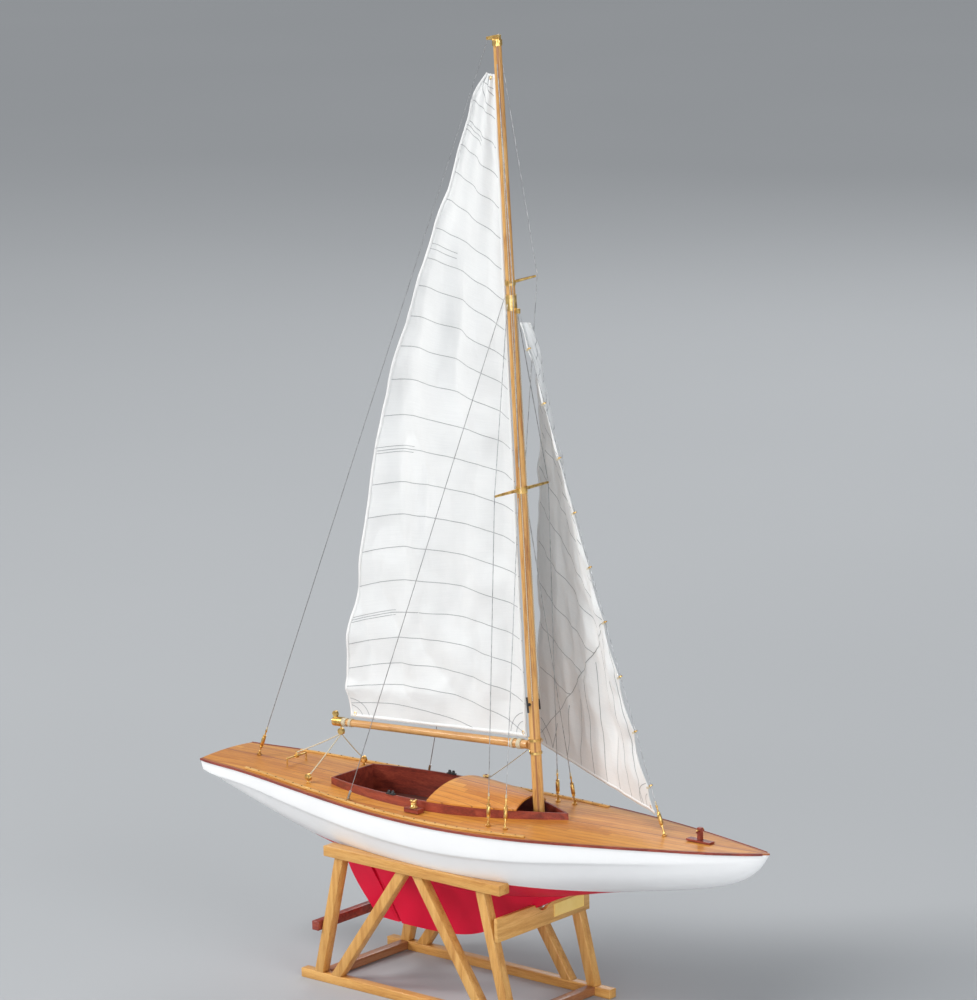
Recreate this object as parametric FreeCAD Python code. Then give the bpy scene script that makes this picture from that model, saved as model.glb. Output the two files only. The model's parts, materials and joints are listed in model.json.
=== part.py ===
import FreeCAD, Part
import math
import os
from FreeCAD import Vector

# Sailing model of a long-keeled three-person day racer, on its wooden display stand.
# Millimetres. +X is the bow, +Y is port, +Z is up. The origin is on the floor, under the middle of the hull.

# ---- overall sizes ----
HULL_LENGTH = 740.0
HULL_BEAM = 168.0
WATERLINE_Z = 148.0
DECK_THICKNESS = 1.6
DECK_CAMBER = 0.05          # crown of the deck, as a share of the half breadth
HULL_SKIN = 2.4
BILGE_POWER = 2.4           # roundness of the topsides
FLOOR_POWER = 1.7           # steepness of the bottom beside the keel
TRANSOM_RAKE = 0.30
TRANSOM_SKIN = 4.0
BOW_BLOCK = 40.0            # solid wood behind the stem
STEM_INSET = 2.0            # from the deck's tip to the stem

# Lines plan: share of the half length, share of the half beam, deck edge and rabbet above the waterline.
LINES = (
    (-1.00, 0.480, 56.3, 33.0),
    (-0.75, 0.640, 56.6, 3.5),
    (-0.50, 0.810, 54.4, -17.0),
    (-0.25, 0.950, 53.1, -29.5),
    (0.00, 1.000, 53.9, -34.0),
    (0.25, 0.920, 57.0, -22.5),
    (0.50, 0.705, 61.8, -0.5),
    (0.70, 0.470, 65.5, 14.5),
    (0.85, 0.265, 68.1, 29.0),
    (0.95, 0.105, 70.5, 47.5),
    (1.00, 0.008, 72.0, 70.6),
)
STATION_SHARES = (
    -1.0, -0.88, -0.75, -0.6, -0.45, -0.3, -0.15, 0.0,
    0.15, 0.3, 0.45, 0.6, 0.72, 0.83, 0.91, 0.965, 1.0,
)

# ---- edge strips ----
RUB_WIDTH = 1.2
RUB_HEIGHT = 2.0
TOE_INSET = 5.0
TOE_WIDTH = 3.0
TOE_HEIGHT = 2.0
TOE_AFT_X = -300.0
TOE_FORE_X = 110.0

# ---- keel and rudder ----
KEEL_DEPTH = 91.5           # keel bottom under the waterline
BALLAST_HEIGHT = 20.0
FIN_HALF_AT_BOTTOM = 5.0
FIN_HALF_AT_HULL = 17.0
FIN_FORE_X = 165.0
POST_FOOT_X = -124.0        # rudder axis at the keel bottom
POST_RAKE = math.radians(30.0)
STOCK_RADIUS = 1.6
STOCK_TOP_Z = 172.0
TUBE_WALL = 0.9
TUBE_TOP_Z = 160.0
SHAFT_CLEARANCE = 0.08
RUDDER_NOSE = 2.6
RUDDER_CHORD = 27.0         # blade aft of the axis, at the bottom
RUDDER_BULGE = 12.0         # how much further the middle of its trailing edge stands
RUDDER_GAP = 3.2            # from the blade's nose to the keel
RUDDER_HEAD_GAP = 4.2       # from the blade's head to the hull
ARM_LENGTH = 14.0
ARM_RADIUS = 3.4
ARM_THICKNESS = 1.6
PIN_RADIUS = 0.8
PUSHROD_LENGTH = 88.0
PUSHROD_WIDTH = 3.0
PUSHROD_THICKNESS = 1.2
PUSHROD_RISE = 1.5          # the link's height over the raked arms' rims

# ---- cockpit, coaming and coachroof ----
COAMING_AFT_X = -186.0
COAMING_TIP_X = 112.0
COAMING_HALF = 49.5         # widest half breadth
COAMING_WIDEST_X = -62.0
COAMING_AFT_HALF = 33.0
COAMING_WALL = 2.0
COAMING_TOP_AFT_Z = 212.5
COAMING_TOP_TIP_Z = 216.5
SOLE_Z = 184.0
SOLE_THICKNESS = 2.0
SOLE_CLEARANCE = 1.0
ROOF_AFT_X = -38.0
ROOF_FORE_X = 62.0
ROOF_CROWN_AFT = 13.0
ROOF_CROWN_FORE = 9.0
ROOF_THICKNESS = 1.8

# ---- mast and rig ----
MAST_X = 73.0               # at the deck
MAST_RAKE = math.radians(2.66)
MAST_HEEL_Z = 132.0
MAST_TOP_Z = 1006.0
MAST_HEEL_RADIUS = 6.0
MAST_TOP_RADIUS = 4.2
PARTNER_LENGTH = 22.0
PARTNER_THICKNESS = 6.0
SPREADER_Z = 549.0
SPREADER_HALF = 41.0
HOUNDS_Z = 741.0
JUMPER_Z = 761.0
JUMPER_REACH = 26.0
JUMPER_RISE = 6.0
WIRE_RADIUS = 0.4
BAND_WALL = 0.9
BAND_HEIGHT = 7.0
CRANE_REACH = 13.0
FORESTAY_DECK_X = 237.0
BACKSTAY_DECK_X = -321.0
CAP_SHROUD_X = 51.6
LOWER_SHROUD_X = 74.2
CHAINPLATE_Y = 56.0
RUNNER_DECK_X = -134.0
RUNNER_INSET = 6.0
TURNBUCKLE_LENGTH = 30.0
TURNBUCKLE_RADIUS = 2.1
CLEAT_Z = 326.0

# ---- boom and sails ----
GOOSENECK_Z = 281.0
BOOM_LENGTH = 281.0
BOOM_RADIUS = 4.6
BOOM_DROOP = math.radians(4.6)
BOOM_OUT = math.radians(2.6)  # boom angle to port as set
BOOM_MAST_GAP = 3.5
BOOM_RING_GAP = 0.45
SAIL_THICKNESS = 0.9
SAIL_BOOM_GAP = 1.6
MAIN_HEAD_Z = 971.0
MAIN_HEAD_WIDTH = 7.0
MAIN_FOOT = 256.0
MAIN_BELLY = 0.045
ROACH = 27.0                # rounding of the leech beyond a straight edge
MAIN_TWIST = 7.0            # how far the head's leech lies further to port
JIB_HEAD_DROP = 12.0        # under the stay's top
JIB_TACK_RISE = 20.0        # along the stay, from its deck eye
JIB_STAY_GAP = 1.6
JIB_SCREW_GAP = 2.4         # more at the tack, which hangs beside the stay's bottle screw
JIB_BELLY = 9.0
# Leech of the jib from the clew to the head: it passes outside the port shrouds and ahead of the jumper stay.
JIB_LEECH = (
    (16.0, 68.0, 262.0), (12.3, 71.0, 350.0), (13.5, 72.0, 440.0), (20.5, 68.0, 525.0),
    (33.0, 56.0, 600.0), (48.5, 38.0, 655.0), (65.0, 20.0, 695.0), (68.0, 4.5, 721.0),
)
HANK_COUNT = 9
HANK_RADIUS = 1.9

# ---- deck fittings ----
BLOCK_X = -209.0
BLOCK_Y = 44.0
HORSE_X = -266.0
HORSE_HALF = 15.0
HORSE_HEIGHT = 8.0
HORSE_RADIUS = 0.9
TRAVELLER_RADIUS = 2.4
WINCH_X = -48.0
WINCH_Y = 58.0
WINCH_PAD = (19.0, 9.5, 5.0)
WINCH_DRUM_RADIUS = 4.2
WINCH_DRUM_HEIGHT = 9.0
BOW_POST_X = 283.0
BOW_POST_HEIGHT = 15.0
BOW_PAD_LENGTH = 30.0
SHEET_RADIUS = 0.55

# ---- radio gear ----
SERVO_SIZE = (32.0, 16.0, 26.0)
WINCH_SERVO_SIZE = (44.0, 24.0, 34.0)
BATTERY_SIZE = (28.0, 52.0, 15.0)
RECEIVER_SIZE = (38.0, 24.0, 10.0)
TRAY_THICKNESS = 3.0
TRAY_Z = 133.0
TRAY_AFT_X = -140.0
TRAY_FORE_X = 34.0
DRUM_RADIUS = 11.0
DRUM_HEIGHT = 7.0
SWITCH_SIZE = (14.0, 6.0, 9.0)
WINCH_SERVO_X = -46.0       # aft ends of the gear on the tray
BATTERY_X = 1.0
RECEIVER_X = -50.0
RECEIVER_Y = 16.0
SWITCH_X = -128.0
SWITCH_Z = 200.0
LEVER_REACH = 5.0

# ---- stand ----
STAND_HALF = 68.5
RAIL_TOP_Z = 152.0
RAIL_HEIGHT = 11.0
RAIL_WIDTH = 16.0
RAIL_AFT_X = -160.0
RAIL_FORE_X = 82.0
BAR = 11.0                  # square section of the legs and braces
BASE_HEIGHT = 10.0
LEG_FOOT_AFT_X = -174.0
LEG_FOOT_FORE_X = 86.0
LEG_LEAN = 33.0
BASE_OVERHANG = 25.0
BRACE_FOOT_AFT_X = -150.0
BRACE_FOOT_FORE_X = 52.0
BRACE_HEAD_AFT_X = -54.0
BRACE_HEAD_FORE_X = -33.0
MID_BAR_Z = 62.0
BOARD_THICKNESS = 4.5
BOARD_LOW_Z = 90.0
BOARD_TOP_Z = 115.0
BOARD_NOTCH_HALF = 11.0
CRADLE_CLEARANCE = 0.5
PLATE_SIZE = (0.8, 48.0, 14.0)

SEAT_GAP = 0.05             # between a fixed fitting and what it stands on
MOVING_GAP = 0.4            # between parts of different bodies that pass each other


# ---------------------------------------------------------------- small helpers

def box(low, high):
    """Box between two corners."""
    size = Vector(*high) - Vector(*low)
    return Part.makeBox(size.x, size.y, size.z, Vector(*low))


def rod(start, end, radius):
    """Round bar from one point to another."""
    run = end - start
    return Part.makeCylinder(radius, run.Length, start, run)


def taper(start, end, radius_start, radius_end):
    """Round bar whose radius changes along it."""
    run = end - start
    return Part.makeCone(radius_start, radius_end, run.Length, start, run)


def wire_run(points, radius):
    """Round wire through a few points, with a ball at each bend."""
    body = rod(points[0], points[1], radius)
    for bend, after in zip(points[1:-1], points[2:]):
        body = body.fuse(Part.makeSphere(1.03 * radius, bend))
        body = body.fuse(rod(bend, after, radius))
    return body.removeSplitter()


def fused(pieces):
    """One solid from overlapping pieces."""
    body = pieces[0]
    for piece in pieces[1:]:
        body = body.fuse(piece)
    return body.removeSplitter()


def through(points, share):
    """Point at a share of the way along a smooth curve through evenly spaced points."""
    last = len(points) - 1
    low = min(int(share * last), last - 1)
    t = share * last - low
    start, end = Vector(*points[low]), Vector(*points[low + 1])
    before, after = Vector(*points[max(low - 1, 0)]), Vector(*points[min(low + 2, last)])
    leave, arrive = (end - before) * 0.5, (after - start) * 0.5
    point = start * (2 * t ** 3 - 3 * t ** 2 + 1) + end * (3 * t ** 2 - 2 * t ** 3)
    return point + leave * (t ** 3 - 2 * t ** 2 + t) + arrive * (t ** 3 - t ** 2)


def mirrored(piece):
    """The same piece on the other side of the boat."""
    return piece.mirror(Vector(0, 0, 0), Vector(0, 1, 0))


def slab(points, thickness, along):
    """Flat polygon given extent along a direction, centred on its plane."""
    shift = along * (-0.5 * thickness)
    outline = [Vector(*p) + shift for p in points]
    face = Part.Face(Part.makePolygon(outline + [outline[0]]))
    return face.extrude(along * thickness)


def square_bar(start, end, size, side_way):
    """Square bar between two points, one pair of faces at right angles to side_way."""
    run = (end - start).normalize()
    across = run.cross(side_way).normalize() * (0.5 * size)
    out = side_way * (0.5 * size)
    corners = [start + across + out, start - across + out, start - across - out, start + across - out]
    face = Part.Face(Part.makePolygon(corners + [corners[0]]))
    return face.extrude(end - start)


def save(name, pieces):
    """Write one node, as a solid or a group of separate solids."""
    shape = pieces[0] if len(pieces) == 1 else Part.makeCompound(pieces)
    for solid in shape.Solids:
        if not solid.isValid():
            print("invalid solid in", name)
    shape.exportStep("parts/" + name + ".step")
    print(name, len(shape.Solids), round(shape.Volume, 1))


# ---------------------------------------------------------------- hull form

def faired(column, x):
    """One column of the lines plan at any station, by a cubic through the rows beside it."""
    share = min(max(x / (0.5 * HULL_LENGTH), LINES[0][0]), LINES[-1][0])
    last = len(LINES) - 1
    low = max(k for k in range(last) if LINES[k][0] <= share)
    gap = LINES[low + 1][0] - LINES[low][0]
    t = (share - LINES[low][0]) / gap

    def slope(k):
        before = LINES[max(k - 1, 0)]
        after = LINES[min(k + 1, last)]
        return (after[column] - before[column]) / (after[0] - before[0]) * gap

    start = LINES[low][column]
    end = LINES[low + 1][column]
    rise = (3 * t ** 2 - 2 * t ** 3) * (end - start)
    return start + rise + (t ** 3 - 2 * t ** 2 + t) * slope(low) + (t ** 3 - t ** 2) * slope(low + 1)


def half_breadth(x):
    """Half breadth of the deck."""
    return faired(1, x) * 0.5 * HULL_BEAM


def deck_edge(x):
    """Height of the deck's top edge."""
    return WATERLINE_Z + faired(2, x)


def rabbet(x):
    """Height of the hull's bottom on the centreline."""
    return WATERLINE_Z + faired(3, x)


def deck_height(x, y):
    """Height of the deck's top surface."""
    half = half_breadth(x)
    return deck_edge(x) + DECK_CAMBER * half * (1.0 - (y / half) ** 2)


def hull_section(x, grow, lift, rake):
    """Closed section of the hull, grown outwards, with its top lifted."""
    half = half_breadth(x) + grow
    top = deck_edge(x) - DECK_THICKNESS + lift
    depth = top - rabbet(x) + grow
    points = []
    steps = 12
    for k in range(steps + 1):
        angle = math.pi * k / steps
        side = math.copysign(abs(math.cos(angle)) ** (2.0 / FLOOR_POWER), math.cos(angle))
        down = depth * max(math.sin(angle), 0.0) ** (2.0 / BILGE_POWER)
        points.append(Vector(x + rake * down, half * side, top - down))
    curve = Part.BSplineCurve()
    fall = Vector(rake, 0, -1)
    curve.interpolate(Points=points, InitialTangent=fall, FinalTangent=fall * -1.0, Scale=True)
    return Part.Wire([curve.toShape(), Part.makeLine(points[-1], points[0])])


def hull_form(grow=0.0, lift=0.0, aft_x=-0.5 * HULL_LENGTH, fore_x=0.5 * HULL_LENGTH - STEM_INSET):
    """Solid in the shape of the hull, between two stations."""
    stations = [0.5 * HULL_LENGTH * s for s in STATION_SHARES]
    inside = [x for x in stations if aft_x + 8.0 < x < fore_x - 4.0]
    sections = [hull_section(aft_x, grow, lift, TRANSOM_RAKE)]
    sections += [hull_section(x, grow, lift, 0.0) for x in inside + [fore_x]]
    return Part.makeLoft(sections, True, False)


def make_hull_shell(form, tube_hole):
    """Planked hull, hollow and open on top, with the hole for the rudder tube."""
    inner = hull_form(-HULL_SKIN, 1.0, -0.5 * HULL_LENGTH + TRANSOM_SKIN, 0.5 * HULL_LENGTH - BOW_BLOCK)
    return form.cut(inner).cut(tube_hole)


def make_deck(opening):
    """Cambered deck with one opening for the cockpit and the mast well."""
    sections = []
    for share in STATION_SHARES:
        x = 0.5 * HULL_LENGTH * share
        half = half_breadth(x)
        edge = deck_edge(x)
        crown = Vector(0, 0, DECK_CAMBER * half)
        down = Vector(0, 0, -DECK_THICKNESS)
        port, starboard = Vector(x, half, edge), Vector(x, -half, edge)
        middle = Vector(x, 0, edge) + crown
        top = Part.Arc(port, middle, starboard).toShape()
        bottom = Part.Arc(starboard + down, middle + down, port + down).toShape()
        sides = [Part.makeLine(starboard, starboard + down), Part.makeLine(port + down, port)]
        sections.append(Part.Wire([top, sides[0], bottom, sides[1]]))
    return Part.makeLoft(sections, True, False).cut(opening)


def edge_strip(aft_x, fore_x, inner, outer, low, high, follow_camber):
    """Port-side strip along the deck edge: offsets outwards from the edge and heights from the deck."""
    sections = []
    stations = [0.5 * HULL_LENGTH * s for s in STATION_SHARES]
    inside = [x for x in stations if aft_x + 5.0 < x < fore_x - 3.0]
    for x in [aft_x] + inside + [fore_x]:
        half = half_breadth(x)
        base = deck_height(x, half + inner) if follow_camber else deck_edge(x)
        corners = [(half + inner, low), (half + outer, low), (half + outer, high), (half + inner, high)]
        loop = [Vector(x, y, base + z) for y, z in corners]
        sections.append(Part.makePolygon(loop + [loop[0]]))
    return Part.makeLoft(sections, True, False)


def make_rub_rails():
    """Rubbing strips that cap the joint of deck and hull."""
    strip = edge_strip(-0.5 * HULL_LENGTH, 0.5 * HULL_LENGTH - 6.0, 0.25, RUB_WIDTH, -RUB_HEIGHT, 0.4, False)
    return [strip, mirrored(strip)]


def make_toe_rails():
    """Low rails that stand on the deck inside its edge."""
    outer = -TOE_INSET
    strip = edge_strip(TOE_AFT_X, TOE_FORE_X, outer - TOE_WIDTH, outer, 0.25, TOE_HEIGHT, True)
    return [strip, mirrored(strip)]


# ---------------------------------------------------------------- keel and rudder

def post_point(distance):
    """Point on the rudder axis, measured up along it from the keel bottom."""
    foot = Vector(POST_FOOT_X, 0, WATERLINE_Z - KEEL_DEPTH)
    return foot + post_way() * distance


def post_way():
    """Direction of the rudder axis, upwards."""
    return Vector(-math.sin(POST_RAKE), 0, math.cos(POST_RAKE))


def post_at_height(z):
    """Point of the rudder axis at a height."""
    return post_point((z - (WATERLINE_Z - KEEL_DEPTH)) / math.cos(POST_RAKE))


def trailing_edge(depth_share):
    """How far the blade's trailing edge lies aft of the axis, from the keel bottom up to the hull."""
    return RUDDER_CHORD + RUDDER_BULGE * math.sin(0.75 * math.pi * min(depth_share, 1.0))


def fin_form():
    """Long lens-shaped body that both the keel and the rudder are cut from."""
    bottom = WATERLINE_Z - KEEL_DEPTH - 2.0
    levels = ((0.0, FIN_HALF_AT_BOTTOM), (0.35, 6.6), (0.65, 9.5), (1.0, FIN_HALF_AT_HULL), (1.35, 30.0))
    height = 62.0
    sections = []
    for share, half in levels:
        z = bottom + height * share
        aft = post_at_height(z).x - 52.0
        fore = FIN_FORE_X + 22.0 * share
        widest = 0.5 * (aft + fore)
        tail, nose = Vector(aft, 0, z), Vector(fore, 0, z)
        port = Part.Arc(tail, Vector(widest, half, z), nose).toShape()
        starboard = Part.Arc(nose, Vector(widest, -half, z), tail).toShape()
        sections.append(Part.Wire([port, starboard]))
    return Part.makeLoft(sections, True, False)


def keel_profile():
    """Side view of the fixed keel, as a slab wide enough for any section."""
    low = WATERLINE_Z - KEEL_DEPTH
    forward = Vector(math.cos(POST_RAKE), 0, math.sin(POST_RAKE)) * (RUDDER_NOSE + RUDDER_GAP)
    heel = post_point(-0.5 * forward.z / math.cos(POST_RAKE)) + forward
    heel = Vector(heel.x + math.tan(POST_RAKE) * (heel.z - low), 0, low)
    head = post_point(110.0) + forward
    curve = Part.BSplineCurve()
    outline = [(heel.x, low), (-70.0, low + 1.0), (-9.0, low + 10.3), (45.0, low + 38.0), (99.0, low + 67.0)]
    outline.append((150.0, rabbet(150.0) + 4.0))
    curve.interpolate([Vector(x, 0, z) for x, z in outline])
    top = Vector(150.0, 0, head.z)
    edges = [curve.toShape(), Part.makeLine(curve.EndPoint, top), Part.makeLine(top, head)]
    edges.append(Part.makeLine(head, Vector(heel.x, 0, low)))
    face = Part.Face(Part.Wire(edges))
    reach = Vector(0, 80.0, 0)
    face.translate(reach * -0.5)
    return face.extrude(reach)


def make_keel(fin, hull_clear):
    """Wooden deadwood and the lead casting bolted under it."""
    keel = fin.common(keel_profile()).cut(hull_clear)
    split = WATERLINE_Z - KEEL_DEPTH + BALLAST_HEIGHT
    lead_room = box((-400, -60, 0), (400, 60, split))
    return keel.cut(lead_room), keel.common(lead_room)


def make_rudder_blade(fin, stock):
    """Blade behind the keel, hung on the raked axis."""
    forward = Vector(math.cos(POST_RAKE), 0, math.sin(POST_RAKE))
    low = WATERLINE_Z - KEEL_DEPTH
    foot = post_point(0.0) + forward * RUDDER_NOSE
    foot = Vector(foot.x, 0, low + 0.5)
    head_z = rabbet(post_at_height(rabbet(-170.0)).x) - RUDDER_HEAD_GAP - 1.0
    head = post_at_height(head_z) + forward * RUDDER_NOSE
    aft_points = []
    for share in (1.0, 0.72, 0.45, 0.22, 0.07):
        axis_point = post_at_height(low + share * (head.z - low))
        reach = trailing_edge(share)
        aft_points.append(Vector(axis_point.x - reach, 0, axis_point.z))
    top_aft = Vector(aft_points[0].x, 0, rabbet(aft_points[0].x) - RUDDER_HEAD_GAP)
    tip = Vector(foot.x - 26.0, 0, low + 1.0)
    curve = Part.BSplineCurve()
    curve.interpolate([top_aft] + aft_points[1:] + [tip])
    edges = [Part.makeLine(foot, head), Part.makeLine(head, top_aft), curve.toShape(), Part.makeLine(tip, foot)]
    face = Part.Face(Part.Wire(edges))
    reach = Vector(0, 80.0, 0)
    face.translate(reach * -0.5)
    blade = fin.common(face.extrude(reach))
    behind = post_point(-20.0) + Vector(-0.01, 0, 0)
    above = post_point(140.0) + Vector(-0.01, 0, 0)
    outline = [behind, above, above + Vector(-120, 0, 0), behind + Vector(-120, 0, 0)]
    aft_room = slab([(p.x, p.y, p.z) for p in outline], 80.0, Vector(0, 1, 0))
    nose_room = rod(post_point(-20.0), post_point(140.0), RUDDER_NOSE)
    return blade.common(aft_room.fuse(nose_room)).cut(stock)


def arm_pin(axis_point):
    """Place of an arm's pin, straight out to port of the axis that turns it."""
    return axis_point + Vector(0, ARM_LENGTH, 0)


def lever(axis_point, bore):
    """Flat arm on a turning axis, with its link pin."""
    way = post_way()
    start = axis_point - way * (0.5 * ARM_THICKNESS)
    boss = Part.makeCylinder(ARM_RADIUS, ARM_THICKNESS, start, way)
    tip = Part.makeCylinder(0.6 * ARM_RADIUS, ARM_THICKNESS, start + Vector(0, ARM_LENGTH, 0), way)
    across = Vector(math.cos(POST_RAKE), 0, math.sin(POST_RAKE)) * (0.5 * ARM_RADIUS)
    out = Vector(0, ARM_LENGTH, 0)
    corners = [start + across, start - across, start - across + out, start + across + out]
    web = Part.Face(Part.makePolygon(corners + [corners[0]])).extrude(way * ARM_THICKNESS)
    pin = Part.makeCylinder(PIN_RADIUS, ARM_THICKNESS + 3.2, start + out, way)
    body = fused([boss, tip, web, pin])
    return body.cut(bore) if bore else body


def rudder_arm_axis():
    """Where the rudder arm sits on the stock."""
    return post_at_height(STOCK_TOP_Z - 3.0)


def servo_arm_axis():
    """Where the servo arm turns, one pushrod forward of the rudder arm."""
    return rudder_arm_axis() + Vector(PUSHROD_LENGTH, 0, 0)


def make_rudder_stock():
    """Brass stock with its arm."""
    stock = rod(post_point(6.0), post_at_height(STOCK_TOP_Z), STOCK_RADIUS)
    return stock, fused([stock, lever(rudder_arm_axis(), None)])


def make_rudder_tube():
    """Hole through the hull for the stock's tube, and the tube."""
    start = post_at_height(rabbet(post_at_height(130.0).x) + 0.5)
    end = post_at_height(TUBE_TOP_Z)
    outer = rod(start, end, STOCK_RADIUS + SHAFT_CLEARANCE + TUBE_WALL)
    bore = rod(start - post_way() * 10.0, end + post_way() * 10.0, STOCK_RADIUS + SHAFT_CLEARANCE)
    hole = outer.fuse(rod(start - post_way() * 12.0, end, STOCK_RADIUS + SHAFT_CLEARANCE))
    return hole, outer.cut(bore)


def make_pushrod():
    """Link from the servo arm's pin to the rudder arm's pin, running above both arms."""
    way = post_way()
    lift = way * (0.5 * ARM_THICKNESS + MOVING_GAP)
    ends = [arm_pin(rudder_arm_axis()) + lift, arm_pin(servo_arm_axis()) + lift]
    hole_radius = PIN_RADIUS + SHAFT_CLEARANCE
    eye_height = PUSHROD_RISE + PUSHROD_THICKNESS
    eyes = [Part.makeCylinder(0.7 * PUSHROD_WIDTH, eye_height, end, way) for end in ends]
    side = Vector(0, 0.5 * PUSHROD_WIDTH, 0)
    rise = way * PUSHROD_RISE
    corners = [ends[0] + side + rise, ends[0] - side + rise, ends[1] - side + rise, ends[1] + side + rise]
    link = Part.Face(Part.makePolygon(corners + [corners[0]])).extrude(way * PUSHROD_THICKNESS)
    body = fused([link] + eyes)
    for end in ends:
        body = body.cut(Part.makeCylinder(hole_radius, 12.0, end - way * 6.0, way))
    return body


# ---------------------------------------------------------------- cockpit and coachroof

def coaming_half(x, inset=0.0):
    """Half width of the coaming's plan, which ends in a point at the tip."""
    tip = COAMING_TIP_X - 2.2 * inset
    if x >= tip:
        return 0.0
    if x > COAMING_WIDEST_X:
        share = (tip - x) / (tip - COAMING_WIDEST_X)
        return (COAMING_HALF - inset) * math.sin(0.5 * math.pi * share ** 0.93)
    share = (COAMING_WIDEST_X - x) / (COAMING_WIDEST_X - COAMING_AFT_X)
    return COAMING_HALF - inset - (COAMING_HALF - COAMING_AFT_HALF) * share ** 2.2


def coaming_top(x):
    """Height of the coaming's top edge."""
    share = (x - COAMING_AFT_X) / (COAMING_TIP_X - COAMING_AFT_X)
    return COAMING_TOP_AFT_Z + share * (COAMING_TOP_TIP_Z - COAMING_TOP_AFT_Z)


def plan_prism(inset, aft_x, fore_x, low, high):
    """Upright prism inside the coaming's plan, between two stations and two heights."""
    count = 9
    tip = COAMING_TIP_X - 2.2 * inset
    end = min(fore_x, tip)
    port = []
    for k in range(count):
        x = aft_x + (end - aft_x) * k / (count - 1.0)
        port.append(Vector(x, coaming_half(x, inset), low))
    curve = Part.BSplineCurve()
    curve.interpolate(port)
    starboard = Part.BSplineCurve()
    starboard.interpolate([Vector(p.x, -p.y, p.z) for p in port])
    edges = [curve.toShape(), starboard.toShape()]
    edges.append(Part.makeLine(port[0], Vector(aft_x, -port[0].y, low)))
    if end < tip:
        edges.append(Part.makeLine(port[-1], Vector(end, -port[-1].y, low)))
    face = Part.Face(Part.Wire(Part.__sortEdges__(edges)))
    return face.extrude(Vector(0, 0, high - low))


def make_coaming():
    """Mahogany ring round the cockpit, the cabin and the mast well."""
    low = SOLE_Z - 1.0
    outer = plan_prism(0.0, COAMING_AFT_X, COAMING_TIP_X, low, 240.0)
    inner = plan_prism(COAMING_WALL, COAMING_AFT_X + COAMING_WALL, COAMING_TIP_X, low - 5.0, 245.0)
    aft, fore = COAMING_AFT_X - 20.0, COAMING_TIP_X + 20.0
    over = [(aft, 0, coaming_top(aft)), (fore, 0, coaming_top(fore)), (fore, 0, 260.0), (aft, 0, 260.0)]
    return outer.cut(inner).cut(slab(over, 200.0, Vector(0, 1, 0)))


def make_coachroof():
    """Arched roof of the small cabin, on top of the coaming."""
    sections = []
    for k in range(5):
        share = k / 4.0
        x = ROOF_AFT_X + share * (ROOF_FORE_X - ROOF_AFT_X)
        half = coaming_half(x) + 0.6
        edge = coaming_top(x) + SEAT_GAP
        crown = ROOF_CROWN_AFT + share * (ROOF_CROWN_FORE - ROOF_CROWN_AFT)
        up = Vector(0, 0, ROOF_THICKNESS)
        port, middle, starboard = Vector(x, half, edge), Vector(x, 0, edge + crown), Vector(x, -half, edge)
        low = Part.Arc(port, middle, starboard).toShape()
        high = Part.Arc(starboard + up, middle + up, port + up).toShape()
        sides = [Part.makeLine(starboard, starboard + up), Part.makeLine(port + up, port)]
        sections.append(Part.Wire([low, sides[0], high, sides[1]]))
    return Part.makeLoft(sections, True, False)


def make_sole():
    """Lift-out cockpit floor, with a pull knob at its aft end."""
    inset = COAMING_WALL + SOLE_CLEARANCE
    fore = ROOF_AFT_X - 4.0
    plate = plan_prism(inset, COAMING_AFT_X + inset, fore, SOLE_Z - SOLE_THICKNESS, SOLE_Z)
    knob = Part.makeCylinder(2.4, 4.0, Vector(COAMING_AFT_X + 20.0, 0, SOLE_Z - 0.5))
    face = switch_place()
    half = 0.5 * SWITCH_SIZE[0] + SOLE_CLEARANCE
    reach = face.y + LEVER_REACH + SOLE_CLEARANCE
    notch = box((face.x - half, -COAMING_HALF, SOLE_Z - 5.0), (face.x + half, reach, SOLE_Z + 5.0))
    return fused([plate, knob]).cut(notch)


# ---------------------------------------------------------------- mast and standing rigging

def mast_point(z):
    """Point of the mast's axis at a height."""
    return Vector(MAST_X - (z - deck_height(MAST_X, 0.0)) * math.tan(MAST_RAKE), 0, z)


def mast_radius(z):
    """Radius of the mast at a height."""
    share = (z - MAST_HEEL_Z) / (MAST_TOP_Z - MAST_HEEL_Z)
    return MAST_HEEL_RADIUS + share * (MAST_TOP_RADIUS - MAST_HEEL_RADIUS)


def make_mast():
    """Tapered mast from its heel inside the hull to the truck."""
    return taper(mast_point(MAST_HEEL_Z), mast_point(MAST_TOP_Z), MAST_HEEL_RADIUS, MAST_TOP_RADIUS)


def mast_band(z, height=BAND_HEIGHT, wall=BAND_WALL):
    """Solid disc round the mast, to be bored by it."""
    low, high = mast_point(z - 0.5 * height), mast_point(z + 0.5 * height)
    return rod(low, high, mast_radius(z) + wall)


def make_crane(mast):
    """Masthead fitting that holds the backstay and the halyard sheave clear of the sail."""
    top = mast_point(MAST_TOP_Z)
    band = mast_band(MAST_TOP_Z - 3.0, 6.0)
    tip_x = top.x - CRANE_REACH
    arm = [(top.x + 4.0, 0, top.z), (tip_x, 0, top.z - 1.0), (tip_x, 0, top.z + 2.0)]
    arm += [(top.x, 0, top.z + 5.0), (top.x + 4.0, 0, top.z + 5.0)]
    return fused([band, slab(arm, 3.0, Vector(0, 1, 0))]).cut(mast)


def make_spreaders(mast):
    """Crosstrees on their mast band."""
    root = mast_point(SPREADER_Z)
    pieces = [mast_band(SPREADER_Z)]
    for side in (-1.0, 1.0):
        inner = root + Vector(0, side * mast_radius(SPREADER_Z) * 0.6, 0)
        pieces.append(taper(inner, root + Vector(0, side * (SPREADER_HALF + 1.0), 0), 1.9, 1.2))
    return fused(pieces).cut(mast)


def jumper_tip(side):
    """Outer end of a jumper strut."""
    reach = JUMPER_REACH * math.sqrt(0.5)
    return mast_point(JUMPER_Z) + Vector(reach, side * reach, JUMPER_RISE)


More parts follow.
